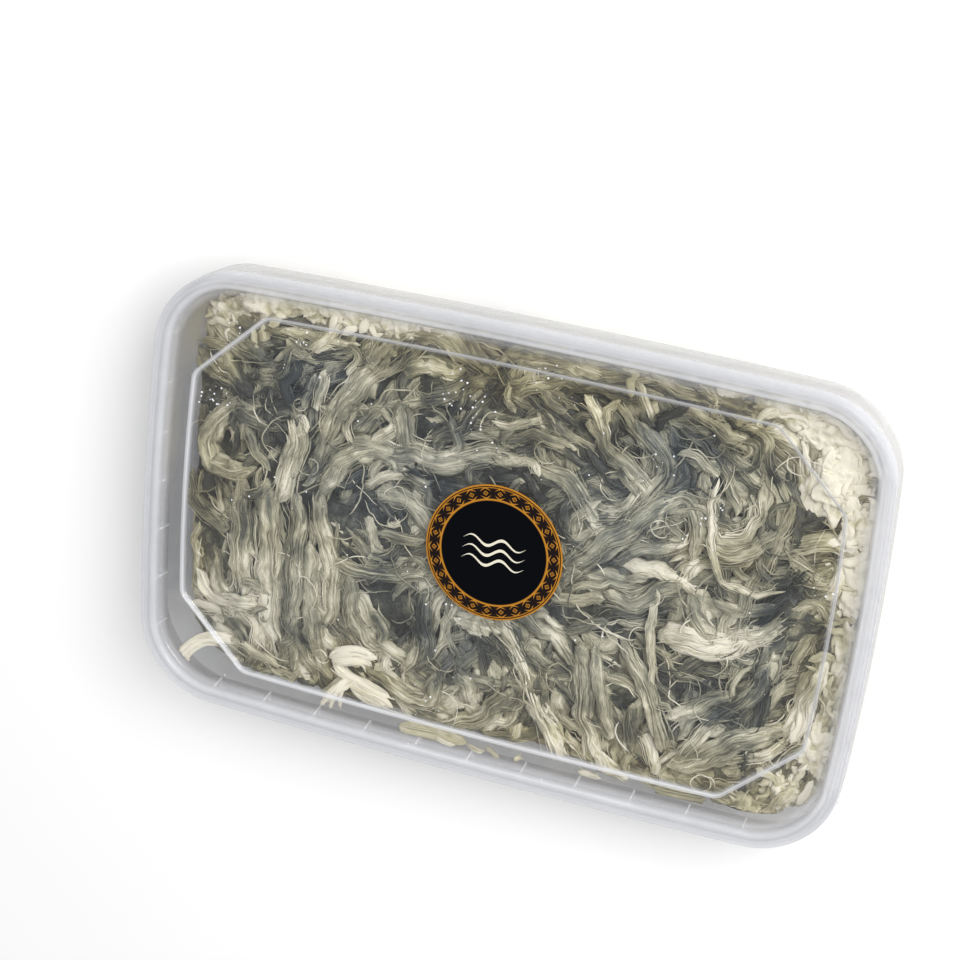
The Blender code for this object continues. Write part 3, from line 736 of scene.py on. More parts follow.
def rib_tree():
    """Thin plates that lean in with the wall, clear but for their foot and their edge on the wall."""
    tree, given = new_tree(
        "ribs",
        (
            ("Reach", "Float", 0.003),
            ("Thickness", "Float", 0.0005),
            ("Height", "Float", 0.009),
            ("Lean", "Float", 0.12),
            ("Haze", "Float", 0.5),
            ("Material", "Material", None),
        ),
    )
    size = put(tree, "ShaderNodeCombineXYZ", {0: given["Reach"], 1: given["Thickness"], 2: given["Height"]})
    plate = put(tree, "GeometryNodeMeshCube", {"Size": size.outputs[0], 1: 8, 2: 2, 3: 16}).outputs[0]
    spot = put(tree, "ShaderNodeSeparateXYZ", {0: put(tree, "GeometryNodeInputPosition").outputs[0]}).outputs
    inwards = calc(tree, "SUBTRACT", 0.5, calc(tree, "DIVIDE", spot[0], given["Reach"]))
    down = calc(tree, "SUBTRACT", 0.5, calc(tree, "DIVIDE", spot[2], given["Height"]))
    edge = calc(tree, "MAXIMUM", calc(tree, "GREATER_THAN", inwards, 0.85), calc(tree, "GREATER_THAN", down, 0.93))
    pale = {"Geometry": plate, "Name": "haze", "Value": calc(tree, "MULTIPLY", edge, given["Haze"])}
    plate = put(tree, "GeometryNodeStoreNamedAttribute", pale, data_type="FLOAT", domain="POINT").outputs[0]
    shift = calc(tree, "MULTIPLY", calc(tree, "MULTIPLY", spot[2], given["Lean"]), inwards)
    plate = put(
        tree,
        "GeometryNodeSetPosition",
        {"Geometry": plate, "Offset": put(tree, "ShaderNodeCombineXYZ", {0: shift}).outputs[0]},
    ).outputs[0]
    turn = put(tree, "GeometryNodeInputNamedAttribute", {0: "turn"}, data_type="FLOAT").outputs[0]
    euler = put(tree, "ShaderNodeCombineXYZ", {2: turn}).outputs[0]
    points = put(tree, "GeometryNodeMeshToPoints", {0: given["Geometry"]}).outputs[0]
    facing = put(tree, "FunctionNodeEulerToRotation", {0: euler}).outputs[0]
    ribs = put(tree, "GeometryNodeInstanceOnPoints", {"Points": points, "Instance": plate, "Rotation": facing}).outputs[0]
    close_tree(tree, ribs, given["Material"])
    return tree


def point_mesh(name, points, edges=(), **attributes):
    """Points in metres, with edges and one number of each attribute for each point."""
    mesh = bpy.data.meshes.new(name)
    mesh.from_pydata([tuple(point) for point in points], list(edges), [])
    for label, values in attributes.items():
        mesh.attributes.new(label, "FLOAT", "POINT").data.foreach_set("value", list(values))
    return mesh


def rim_places(inset, z):
    """The middles of the plates that stand across the rim at one inset, and how each is turned."""
    half_x, half_y = LENGTH / 2, WIDTH / 2
    points, turns = [], []
    for k in range(RIBS_LONG):
        x = (k - (RIBS_LONG - 1) / 2) * RIB_PITCH_LONG + RIB_SHIFT_LONG
        out = half_y + LONG_SIDE_BOW * (1 - (x / half_x) ** 2) - inset
        for side in (1, -1):
            points.append(world((x, side * out, z)))
            turns.append(side * math.pi / 2)
    for k in range(RIBS_SHORT):
        y = (k - (RIBS_SHORT - 1) / 2) * RIB_PITCH_SHORT + RIB_SHIFT_SHORT
        out = half_x + SHORT_SIDE_BOW * (1 - (y / half_y) ** 2) - inset
        for side in (1, -1):
            points.append(world((side * out, y, z)))
            turns.append(0.0 if side > 0 else math.pi)
    return points, turns


def make_plates(name, inner, outer, foot, top, lean, finish):
    """Thin plates across the rim at every rib's place, from the outer to the inner inset."""
    points, turns = rim_places((inner + outer) / 2, (foot + top) / 2)
    values = {
        "Reach": (inner - outer) * MM,
        "Thickness": RIB_THICKNESS * MM,
        "Height": (top - foot) * MM,
        "Lean": lean,
        "Haze": 1.0,
        "Material": finish,
    }
    return grow(name, point_mesh(name, points, turn=turns), rib_tree(), values)


def make_ribs(finish):
    middle = wall_at((RIB_FOOT + WEB_TOP) / 2)[0]
    lip = LIP_INSET + WALL
    return [
        make_plates("ribs", middle + 0.2, COLLAR_THICKNESS, RIB_FOOT, WEB_TOP - WALL / 2, 0.12, finish),
        make_plates("lip_beads", lip + BEAD_REACH, lip - 0.2, WEB_TOP - 0.2, BEAD_TOP, 0.0, finish),
        make_plates("rim_ticks", TICK_REACH, 0.05, TICK_ENDS[1], TICK_ENDS[0], 0.0, finish),
    ]


def make_tab(finish):
    """The thin raised edge of the tear-off tab on the front of the rim, with its short cuts."""
    front = [Vector(point) for point in level(TAB_INSET, TAB_Z) if point[1] < 0]
    front = sorted((point for point in front if TAB_START < point.x < TAB_END), key=lambda point: point.x)
    routes = [[front[0] + Vector((-2.2, -1.0, -0.4)), front[0] + Vector((-1.6, -0.2, 0.0)), *front]]
    for x in TAB_CUTS:
        spot = min(front, key=lambda point: abs(point.x - x))
        routes.append([spot, spot + Vector((0.2, 0.8, 0.5)), spot + Vector((0.4, 1.6, 1.0))])
    shape = bmesh.new()
    haze = shape.verts.layers.float.new("haze")
    for route in routes:
        rings = []
        for k, spot in enumerate(route):
            run = (route[min(k + 1, len(route) - 1)] - route[max(k - 1, 0)]).normalized()
            side = run.cross(Vector((0, 0, 1))).normalized()
            up = side.cross(run)
            around_spot = [spot + (side * math.cos(a) + up * math.sin(a)) * TAB_RADIUS for a in (k * math.tau / 6 for k in range(6))]
            rings.append([shape.verts.new(world(point)) for point in around_spot])
        for low, high in zip(rings, rings[1:]):
            for k in range(6):
                shape.faces.new((low[k], low[(k + 1) % 6], high[(k + 1) % 6], high[k]))
        shape.faces.new(rings[0])
        shape.faces.new(rings[-1])
    for vertex in shape.verts:
        vertex[haze] = 0.8
    return finish_shape("tab_edge", shape, finish)


def dew_tree():
    """Small flattened drops, one at each point, of the size that the point gives."""
    tree, given = new_tree(
        "dew",
        (("Drop Radius", "Float", 0.0004), ("Flatness", "Float", 0.5), ("Material", "Material", None)),
    )
    drop = put(tree, "GeometryNodeMeshIcoSphere", {"Radius": given["Drop Radius"], "Subdivisions": 2}).outputs[0]
    points = put(tree, "GeometryNodeMeshToPoints", {0: given["Geometry"]}).outputs[0]
    size = put(tree, "GeometryNodeInputNamedAttribute", {0: "size"}, data_type="FLOAT").outputs[0]
    height = calc(tree, "MULTIPLY", size, given["Flatness"])
    scale = put(tree, "ShaderNodeCombineXYZ", {0: size, 1: size, 2: height}).outputs[0]
    drops = put(tree, "GeometryNodeInstanceOnPoints", {"Points": points, "Instance": drop, "Scale": scale}).outputs[0]
    close_tree(tree, drops, given["Material"])
    return tree


def make_dew():
    """Condensation that hangs under the panel, in patches and here and there."""
    draw = random.Random(DEW_SEED)
    finish, tree = new_finish("dew")
    glass = put(
        tree,
        "ShaderNodeBsdfPrincipled",
        {"Base Color": (0.93, 0.94, 0.96, 1.0), "Roughness": 0.08, "Specular IOR Level": 0.7},
    )
    put(tree, "ShaderNodeOutputMaterial", {0: glass.outputs[0]})
    under = PANEL_TOP - SHEET - STEP_DROP
    points, sizes = [], []
    for x, y, spread, count in DEW_PATCHES:
        for _ in range(count):
            px, py = x + draw.gauss(0, spread), y + draw.gauss(0, spread)
            beyond = abs(px) > OCTAGON_HALF_X - 2 or abs(py) > OCTAGON_HALF_Y - 2
            beyond = beyond or abs(px) + abs(py) > OCTAGON_HALF_X + OCTAGON_HALF_Y - OCTAGON_CUT - 3
            if beyond and (abs(px) > OCTAGON_HALF_X + 4 or abs(py) > OCTAGON_HALF_Y + 5):
                continue
            points.append(world((px, py, (under + STEP_DROP if beyond else under) - 0.1)))
            sizes.append(draw.uniform(0.35, 1.0) ** 1.5)
    values = {"Drop Radius": 0.0004, "Flatness": 0.45, "Material": finish}
    return grow("dew", point_mesh("dew", points, size=sizes), dew_tree(), values)


def label_finish():
    """A printed disc: a dark field, an ochre border with a generic pattern of its own, and fine rims."""
    finish, tree = new_finish("label_print")
    place = put(tree, "ShaderNodeTexCoord").outputs["Object"]
    middle = vec(tree, "SUBTRACT", place, (LABEL_CENTRE[0] * MM, LABEL_CENTRE[1] * MM, 0.0))
    middle = vec(tree, "SCALE", middle, scale=1 / MM)
    axes = put(tree, "ShaderNodeSeparateXYZ", {0: middle}).outputs
    flat = put(tree, "ShaderNodeCombineXYZ", {0: axes[0], 1: axes[1]}).outputs[0]
    radius = put(tree, "ShaderNodeVectorMath", {0: flat}, operation="LENGTH").outputs["Value"]
    turn = calc(tree, "ARCTAN2", axes[1], axes[0])

    def band(inner, outer, soft=0.12):
        above = put(tree, "ShaderNodeMapRange", {"Value": radius, 1: inner - soft, 2: inner + soft}).outputs[0]
        below = put(tree, "ShaderNodeMapRange", {"Value": radius, 1: outer + soft, 2: outer - soft}).outputs[0]
        return calc(tree, "MULTIPLY", above, below)

    def mix(share, first, second):
        node = put(tree, "ShaderNodeMix", {0: share, 6: first, 7: second}, data_type="RGBA")
        return node.outputs[2]

    # The border's pattern: along is the place in one of its cells, across runs from its inner to its outer edge
    along = calc(tree, "SUBTRACT", calc(tree, "FRACT", calc(tree, "MULTIPLY", turn, 26 / math.tau)), 0.5)
    along = calc(tree, "ABSOLUTE", along)
    across = calc(tree, "ABSOLUTE", calc(tree, "MULTIPLY_ADD", radius, 1 / 1.55, -19.8 / 1.55))
    leaf = calc(tree, "LESS_THAN", across, calc(tree, "MULTIPLY_ADD", along, -1.5, 1.0))
    bud = calc(tree, "MULTIPLY_ADD", along, 3.4, calc(tree, "MULTIPLY", across, 1.15))
    rim_of_bud = calc(tree, "LESS_THAN", calc(tree, "ABSOLUTE", calc(tree, "SUBTRACT", bud, 0.52)), 0.11)
    heart = calc(tree, "LESS_THAN", bud, 0.16)
    notch = calc(tree, "GREATER_THAN", across, calc(tree, "MULTIPLY_ADD", along, -2.6, 1.42))
    gold = calc(tree, "MAXIMUM", rim_of_bud, heart)
    pattern = calc(tree, "MAXIMUM", calc(tree, "MULTIPLY", leaf, calc(tree, "SUBTRACT", 1.0, gold)), notch)
    dark = (0.0002, 0.0008, 0.0022, 1.0)
    ochre = (0.43, 0.185, 0.020, 1.0)
    cream = (0.72, 0.68, 0.55, 1.0)
    brown = (0.010, 0.006, 0.006, 1.0)
    # Three strands in the middle of the field, as fine waves that thin out to their ends
    wave = calc(tree, "MULTIPLY", calc(tree, "SINE", calc(tree, "MULTIPLY", axes[0], 0.62)), 1.3)
    row = calc(tree, "MULTIPLY", calc(tree, "SUBTRACT", axes[1], wave), 1 / 3.4)
    off_line = calc(tree, "ABSOLUTE", calc(tree, "SUBTRACT", row, calc(tree, "ROUND", row)))
    breadth = calc(tree, "MULTIPLY_ADD", calc(tree, "POWER", calc(tree, "MULTIPLY", axes[0], 1 / 10.5), 2.0), -0.15, 0.15)
    strands = calc(tree, "LESS_THAN", off_line, breadth)
    strands = calc(tree, "MULTIPLY", strands, calc(tree, "LESS_THAN", calc(tree, "ABSOLUTE", row), 1.5))
    field = mix(strands, dark, cream)
    colour = mix(band(17.4, 23.5), field, ochre)
    colour = mix(calc(tree, "MULTIPLY", pattern, band(18.0, 21.5)), colour, brown)
    colour = mix(band(21.75, 22.1, 0.06), colour, brown)
    grain = put(tree, "ShaderNodeTexNoise", {"Vector": middle, "Scale": 3.0, "Detail": 3.0}).outputs["Fac"]
    bump = put(tree, "ShaderNodeBump", {"Height": grain, "Strength": 0.06, "Distance": 0.0003}).outputs[0]
    shader = put(
        tree,
        "ShaderNodeBsdfPrincipled",
        {"Base Color": colour, "Roughness": 0.38, "Normal": bump, "Specular IOR Level": 0.08},
    )
    put(tree, "ShaderNodeOutputMaterial", {0: shader.outputs[0]})
    return finish


def make_label(finish):
    floor = PANEL_TOP - STEP_DROP + GAP
    loops = []
    for radius, z in (
        (LABEL_RADIUS - 0.1, floor),
        (LABEL_RADIUS, floor + 0.08),
        (LABEL_RADIUS, floor + LABEL_THICKNESS - 0.08),
        (LABEL_RADIUS - 0.1, floor + LABEL_THICKNESS),
    ):
        loops.append([(x, y, z) for x, y in arc(LABEL_CENTRE, radius, 0, 360, 128)[:-1]])
    return finish_shape("label_disc", loft(loops), finish)


# The cheese


def ease(value, start, end):
    share = min(max((value - start) / (end - start), 0.0), 1.0)
    return share * share * (3 - 2 * share)


def heap_level(x, y):
    """The smooth level of the cheese's surface. It falls towards the left side and the lower left."""
    left = FALL_LEFT * ease(-x, 84, 112)
    front = FALL_FRONT * ease(-y, 44, 72) * (1 - 0.6 * ease(x, 20, 60))
    return HEAP_TOP - max(left, front) - 0.4 * min(left, front)


def placed(x, y, rise):
    """Where a point of the plan lies once it has sunk to the heap's level along its line of sight."""
    spot = Vector((x, y, PLAN_LEVEL))
    sight = spot - PLAN_EYE
    for _ in range(3):
        depth = heap_level(spot.x, spot.y) + rise
        spot = PLAN_EYE + sight * ((depth - PLAN_EYE.z) / sight.z)
    return spot


def smooth_route(route, step):
    """Points along a Catmull-Rom curve through the route, about a step apart."""
    length = sum((b - a).length for a, b in zip(route, route[1:]))
    count = max(5, round(length / step) + 1)
    ends = [route[0] * 2 - route[1], *route, route[-1] * 2 - route[-2]]
    points = []
    for k in range(count):
        whole = k / (count - 1) * (len(route) - 1)
        i = min(int(whole), len(route) - 2)
        t = whole - i
        a, b, c, d = ends[i : i + 4]
        bend = (a * -1 + b * 3 - c * 3 + d) * t**3 + (a * 2 - b * 5 + c * 4 - d) * t**2
        points.append((bend + (c - a) * t + b * 2) * 0.5)
    return points


class Guide:
    """The middle line of a strand in drawn millimetres, its width and how pale it is."""

    def __init__(self, points, width, tone):
        self.points, self.width, self.tone = points, width, tone


def warmth_at(x, y):
    """How yellow the cheese is: grey in the middle, warmer along the rim and in the pale corner."""
    out = max((abs(x) - 88) / 22, (abs(y) - 46) / 18, 0.0)
    corner = 1 - min(1.0, math.hypot(x - 98, y - 48) / 38)
    return min(1.0, 0.25 + 0.6 * min(1.0, out) + 0.5 * max(0.0, corner) + 0.25 * ease(y, 42, 66))


def wavy(points, seed, amount, wave=9.0):
    """The points pushed a little sideways and up or down, in waves of their own."""
    made, run = [], 0.0
    for k, point in enumerate(points):
        run += (point - points[k - 1]).length if k else 0.0
        at = Vector((run / wave, seed * 1.37, 0.0))
        push = noise.noise_vector(at) * 1.7 + noise.noise_vector(at * 2.3 + Vector((0, 5, 9))) * 0.7
        made.append(point + Vector((push.x, push.y, push.z * 0.6)) * amount)
    return made


def curl_guides(draw, count):
    """Curls and loops that lie on the heap."""
    made = []
    for _ in range(count):
        x, y = draw.uniform(-100, 103), draw.uniform(-56, 62)
        turn, radius = draw.uniform(0, math.tau), draw.uniform(3.0, 8.0)
        hand, rise = draw.choice((-1, 1)), draw.uniform(0.2, 2.4)
        oval, lean = draw.uniform(0.55, 1.0), draw.uniform(0, math.pi)
        points = []
        for step in range(draw.randrange(5, 11)):
            angle = turn + hand * step * 0.5
            size = radius * (1 - step * 0.05)
            u, v = size * math.cos(angle), size * oval * math.sin(angle)
            px = x + u * math.cos(lean) - v * math.sin(lean)
            py = y + u * math.sin(lean) + v * math.cos(lean)
            px, py = inside(px, py, HEAP_TOP, 1.2)
            points.append(Vector((px, py, heap_level(px, py) + rise + 0.9 * math.sin(angle * 1.5))))
        line = wavy(smooth_route(points, 1.5), draw.uniform(0, 500), 0.9, 6.0)
        made.append(Guide(line, draw.uniform(1.2, 3.2), draw.uniform(0.3, 0.85)))
    return made


def tone_at(x, y, tone):
    """A strand's tone where the heap as a whole is darker or paler."""
    for (px, py), radius, change in TONE_PLACES:
        near = math.hypot(x - px, y - py) / radius
        if near < 2.2:
            tone += change * math.exp(-near * near)
    return tone


def guide_mesh(name, guides):
    points, edges, widths, tones, warmths = [], [], [], [], []
    for guide in guides:
        start = len(points)
        points += [world(p) for p in guide.points]
        edges += [(start + k, start + k + 1) for k in range(len(guide.points) - 1)]
        widths += [guide.width * MM] * len(guide.points)
        tones += [tone_at(p.x, p.y, guide.tone) for p in guide.points]
        warmths += [warmth_at(p.x, p.y) for p in guide.points]
    return point_mesh(name, points, edges, width=widths, tone=tones, warm=warmths)


def inside(x, y, z, margin):
    """A point pushed back within the tub's inner wall, at least the margin away from it."""
    inset, bow = wall_at(z)
    inset += WALL + margin
    half_x, half_y = LENGTH / 2 - inset, WIDTH / 2 - inset
    bulge_x = 1 + bow * SHORT_SIDE_BOW / half_x * (1 - min(1.0, (y / half_y) ** 2))
    bulge_y = 1 + bow * LONG_SIDE_BOW / half_y * (1 - min(1.0, (x / half_x) ** 2))
    u, v = x / bulge_x, y / bulge_y
    radius = CORNER_RADIUS - inset
    du, dv = abs(u) - (half_x - radius), abs(v) - (half_y - radius)
    if du > 0 and dv > 0:
        away = math.hypot(du, dv)
        if away > radius:
            du, dv = du * radius / away, dv * radius / away
    else:
        du, dv = min(du, radius), min(dv, radius)
    u = math.copysign(half_x - radius + du, u)
    v = math.copysign(half_y - radius + dv, v)
    return u * bulge_x, v * bulge_y


def fill_ins(draw, main, count, lowest, highest, widths):
    """Strands for the bare places, each along the run of the strands near it."""
    spots, runs = [], []
    for guide in main:
        for a, b in zip(guide.points, guide.points[2:]):
            run = b - a
            turn = 2 * math.atan2(run.y, run.x)
            spots.append((a.x, a.y))
            runs.append((math.cos(turn), math.sin(turn)))
    spots, runs = np.array(spots), np.array(runs)

    def run_at(x, y, wander):
        weight = 1 / ((spots[:, 0] - x) ** 2 + (spots[:, 1] - y) ** 2 + 30.0) ** 1.5
        mean = (runs * weight[:, None]).sum(axis=0)
        return math.atan2(mean[1], mean[0]) / 2 + wander

    made = []
    for k in range(count):
        x, y = draw.uniform(-110, 110), draw.uniform(-68, 68)
        wander = draw.gauss(0.0, 0.55)
        rise = draw.uniform(lowest, highest)
        length = draw.uniform(22, 60)
        turn = run_at(x, y, wander)
        line = [Vector((x, y, 0.0))]
        bend = draw.gauss(0.0, 0.03)
        for _ in range(int(length / 4)):
            target = run_at(line[-1].x, line[-1].y, wander)
            turn += ((target - turn + math.pi / 2) % math.pi - math.pi / 2) * 0.35 + bend + draw.gauss(0, 0.09)
            line.append(line[-1] + Vector((math.cos(turn), math.sin(turn), 0.0)) * 4)
        points = []
        for step, spot in enumerate(line):
            lift = rise + 1.1 * math.sin(step * 0.9 + k)
            x, y = inside(spot.x, spot.y, HEAP_TOP, 1.5)
            points.append(Vector((x, y, heap_level(x, y) + lift)))
        line = wavy(smooth_route(points, 2.2), draw.uniform(0, 500), 1.7)
        made.append(Guide(line, draw.uniform(*widths), draw.uniform(0.1, 0.8)))
    return made


def wall_guides(draw):
    """Strands that lie against the wall and on the floor of the tub, from the surface down."""
    made = []
    floor = -DEPTH + WALL
    for row, z in enumerate((-19.0, -22.0, -25.0, -28.0, -31.0, -34.0, -36.8)):
        outline = [Vector(point) for point in level(wall_at(z)[0] + WALL + 1.9, z, wall_at(z)[1])]
        count = len(outline)
        start = draw.randrange(count)
        walked = 0
        while walked < count:
            size = draw.randrange(8, 20)
            height, lean = draw.uniform(-1.6, 1.6), draw.gauss(0, 0.5)
            points = []
            for k in range(0, size, 2):
                spot = outline[(start + walked + k) % count].copy()
                spot.z += height + lean * (k - size / 2) + 1.5 * math.sin(k * 0.35 + row * 2.1 + walked)
                spot.z = min(spot.z, heap_level(spot.x, spot.y) - 2.8 - 1.9 * row)
                spot.z = max(spot.z, floor + 1.4)
                points.append(spot)
            made.append(Guide(smooth_route(points, 3.0), draw.uniform(4.5, 6.5), draw.uniform(0.3, 0.85)))
            walked += size - 3
    for _ in range(130):
        x, y = draw.uniform(-100, 100), draw.uniform(-58, 58)
        turn = draw.uniform(0, math.pi)
        points = []
        for step in range(int(draw.uniform(5, 12))):
            turn += draw.gauss(0, 0.25)
            x, y = x + math.cos(turn) * 5, y + math.sin(turn) * 5
            px, py = inside(x, y, floor, 4.0)
            points.append(Vector((px, py, floor + 1.6)))
        made.append(Guide(smooth_route(points, 3.5), draw.uniform(5.0, 8.0), draw.uniform(0.35, 0.85)))
    return made


def loose_guides(draw, count):
    """Fine fibres that lie loose on the heap, bent and curled."""
    made = []
    for _ in range(count):
        x, y = draw.uniform(-108, 108), draw.uniform(-66, 66)
        turn = draw.uniform(0, math.tau)
        curl = draw.gauss(0.0, 0.32)
        rise = draw.uniform(1.2, 3.4)
        points = []
        for step in range(draw.randrange(5, 13)):
            turn += curl + draw.gauss(0, 0.14)
            x, y = x + math.cos(turn) * 2.2, y + math.sin(turn) * 2.2
            px, py = inside(x, y, HEAP_TOP, 1.0)
            points.append(Vector((px, py, heap_level(px, py) + rise + draw.gauss(0, 0.5))))
        made.append(Guide(smooth_route(points, 1.6), draw.uniform(0.7, 1.5), draw.uniform(0.5, 0.9)))
    return made


def strand_tree():
    """Strands along guide lines: each guide carries one body, or many threads laid round its middle line."""
    tree, given = new_tree(
        "strands",
        (
            ("Threads", "Int", 1),
            ("Spread", "Float", 0.0),
            ("Share", "Float", 1.0),
            ("Thread Width", "Float", 0.0),
            ("Flatness", "Float", 0.6),
            ("Fray", "Float", 0.0),
            ("Waver", "Float", 0.0),
            ("Trim", "Float", 0.0),
            ("Bluntness", "Float", 8.0),
            ("Ridges", "Float", 0.0),
            ("Tone Range", "Float", 0.12),
            ("Sides", "Int", 8),
            ("Seed", "Int", 1),
            ("Material", "Material", None),
        ),
    )

    def each(low, high, shift):
        """A random number that stays the same along a curve."""
        seed = calc(tree, "ADD", given["Seed"], float(shift))
        value = put(tree, "FunctionNodeRandomValue", {2: low, 3: high, 8: seed}, data_type="FLOAT").outputs[1]
        return put(tree, "GeometryNodeFieldOnDomain", {0: value}, data_type="FLOAT", domain="CURVE").outputs[0]

    def named(label):
        return put(tree, "GeometryNodeInputNamedAttribute", {0: label}, data_type="FLOAT").outputs[0]

    def store(geometry, label, value, kind="FLOAT"):
        inputs = {"Geometry": geometry, "Name": label, "Value": value}
        return put(tree, "GeometryNodeStoreNamedAttribute", inputs, data_type=kind, domain="POINT").outputs[0]

    curve = put(tree, "GeometryNodeMeshToCurve", {0: given["Geometry"]}).outputs[0]
    curve = put(tree, "GeometryNodeDuplicateElements", {0: curve, 2: given["Threads"]}, domain="SPLINE").outputs[0]
    curve = put(tree, "GeometryNodeSetCurveNormal", {0: curve}, mode="Z_UP").outputs[0]
    curve = store(curve, "thread", each(0.0, 1.0, 1))
    curve = store(curve, "angle", each(-0.25, 3.4, 2))

    along = put(tree, "GeometryNodeSplineParameter").outputs
    end = calc(tree, "ABSOLUTE", calc(tree, "MULTIPLY_ADD", along["Factor"], 2.0, -1.0))
    tangent = put(tree, "GeometryNodeInputTangent").outputs[0]
    side = vec(tree, "NORMALIZE", vec(tree, "CROSS_PRODUCT", tangent, (0.0, 0.0, 1.0)))
    up = vec(tree, "CROSS_PRODUCT", side, tangent)
    spot = put(tree, "GeometryNodeInputPosition").outputs[0]
    own = calc(tree, "MULTIPLY", named("thread"), 40.0)
    drift = put(tree, "ShaderNodeTexNoise", {0: spot, 1: own, "Scale": 45.0, "Detail": 0.0}, noise_dimensions="4D")
    angle = calc(tree, "MULTIPLY_ADD", calc(tree, "SUBTRACT", drift.outputs["Fac"], 0.5), 1.3, named("angle"))
    fray = calc(tree, "MULTIPLY", calc(tree, "POWER", end, 5.0), each(-0.3, 1.4, 3))
    fray = calc(tree, "MULTIPLY_ADD", fray, given["Fray"], 1.0)
    reach = calc(tree, "MULTIPLY", calc(tree, "MULTIPLY", named("width"), 0.5), given["Spread"])
    reach = calc(tree, "MULTIPLY", reach, calc(tree, "MULTIPLY", fray, each(0.7, 1.08, 4)))
    out = vec(tree, "SCALE", side, scale=calc(tree, "MULTIPLY", reach, calc(tree, "COSINE", angle)))
    rise = calc(tree, "MULTIPLY", calc(tree, "MULTIPLY", reach, 0.68), calc(tree, "SINE", angle))
    out = vec(tree, "ADD", out, vec(tree, "SCALE", up, scale=rise))
    waver = put(tree, "ShaderNodeTexNoise", {0: spot, 1: own, "Scale": 130.0, "Detail": 1.0}, noise_dimensions="4D")
    waver = vec(tree, "SUBTRACT", waver.outputs["Color"], (0.5, 0.5, 0.5))
    out = vec(tree, "ADD", out, vec(tree, "SCALE", waver, scale=given["Waver"]))
    curve = put(tree, "GeometryNodeSetPosition", {"Geometry": curve, "Offset": out}).outputs[0]
    tilt = calc(tree, "SUBTRACT", math.pi / 2, angle)
    tilt = calc(tree, "MULTIPLY", tilt, calc(tree, "GREATER_THAN", given["Spread"], 0.001))
    curve = put(tree, "GeometryNodeSetCurveTilt", {0: curve, 2: tilt}).outputs[0]
    trims = {0: curve, 2: each(0.0, given["Trim"], 5), 3: calc(tree, "SUBTRACT", 1.0, each(0.0, given["Trim"], 6))}
    curve = put(tree, "GeometryNodeTrimCurve", trims, mode="FACTOR").outputs[0]

    along = put(tree, "GeometryNodeSplineParameter").outputs
    end = calc(tree, "ABSOLUTE", calc(tree, "MULTIPLY_ADD", along["Factor"], 2.0, -1.0))
    taper = calc(tree, "POWER", calc(tree, "SUBTRACT", 1.0, calc(tree, "POWER", end, given["Bluntness"])), 0.6)
    taper = calc(tree, "MULTIPLY_ADD", taper, 0.95, 0.05)
    girth = calc(tree, "MULTIPLY", calc(tree, "MULTIPLY", named("width"), 0.5), given["Share"])
    girth = calc(tree, "MULTIPLY_ADD", calc(tree, "MULTIPLY", given["Thread Width"], 0.5), each(0.35, 1.75, 7), girth)
    swell = put(tree, "ShaderNodeTexNoise", {0: spot, 1: own, "Scale": 160.0, "Detail": 1.0}, noise_dimensions="4D")
    swell = calc(tree, "MULTIPLY_ADD", swell.outputs["Fac"], 0.8, 0.6)
    girth = calc(tree, "MULTIPLY", calc(tree, "MULTIPLY", girth, taper), swell)
    curve = store(curve, "girth", girth)
    curve = store(curve, "along", along["Length"])

    ring = put(tree, "GeometryNodeCurvePrimitiveCircle", {0: given["Sides"], 4: 1.0}).outputs[0]
    ring = store(ring, "rim", put(tree, "GeometryNodeInputPosition").outputs[0], "FLOAT_VECTOR")
    flat = put(tree, "ShaderNodeCombineXYZ", {0: 1.0, 1: given["Flatness"], 2: 1.0}).outputs[0]
    ring = put(tree, "GeometryNodeTransform", {0: ring, "Scale": flat}).outputs[0]
    mesh = put(tree, "GeometryNodeCurveToMesh", {0: curve, 1: ring, 2: named("girth"), 3: True}).outputs[0]

    rim = put(tree, "GeometryNodeInputNamedAttribute", {0: "rim"}, data_type="FLOAT_VECTOR").outputs[0]
    rim = vec(tree, "SCALE", rim, scale=calc(tree, "MULTIPLY", named("girth"), 1000.0))
    length = put(tree, "ShaderNodeCombineXYZ", {2: calc(tree, "MULTIPLY", named("along"), 1000.0)}).outputs[0]
    fibre = vec(tree, "ADD", rim, length)
    shift = put(tree, "ShaderNodeCombineXYZ", {0: own, 1: calc(tree, "MULTIPLY", own, 1.7)}).outputs[0]
    mesh = store(mesh, "fibre", vec(tree, "ADD", fibre, shift), "FLOAT_VECTOR")
    stretched = vec(tree, "MULTIPLY", vec(tree, "ADD", fibre, shift), (1.0, 1.0, 0.12))
    ridge = put(tree, "ShaderNodeTexNoise", {0: stretched, "Scale": 0.75, "Detail": 3.0, "Roughness": 0.6}).outputs["Fac"]
    amount = calc(tree, "MULTIPLY", calc(tree, "SUBTRACT", ridge, 0.5), given["Ridges"])
    amount = calc(tree, "MULTIPLY", amount, named("girth"))
    normal = put(tree, "GeometryNodeInputNormal").outputs[0]
    mesh = put(tree, "GeometryNodeSetPosition", {0: mesh, "Offset": vec(tree, "SCALE", normal, scale=amount)}).outputs[0]
    varied = calc(tree, "MULTIPLY_ADD", calc(tree, "SUBTRACT", named("thread"), 0.5), given["Tone Range"], named("tone"))
    mesh = store(mesh, "tone", varied)
    close_tree(tree, mesh, given["Material"])
    return tree


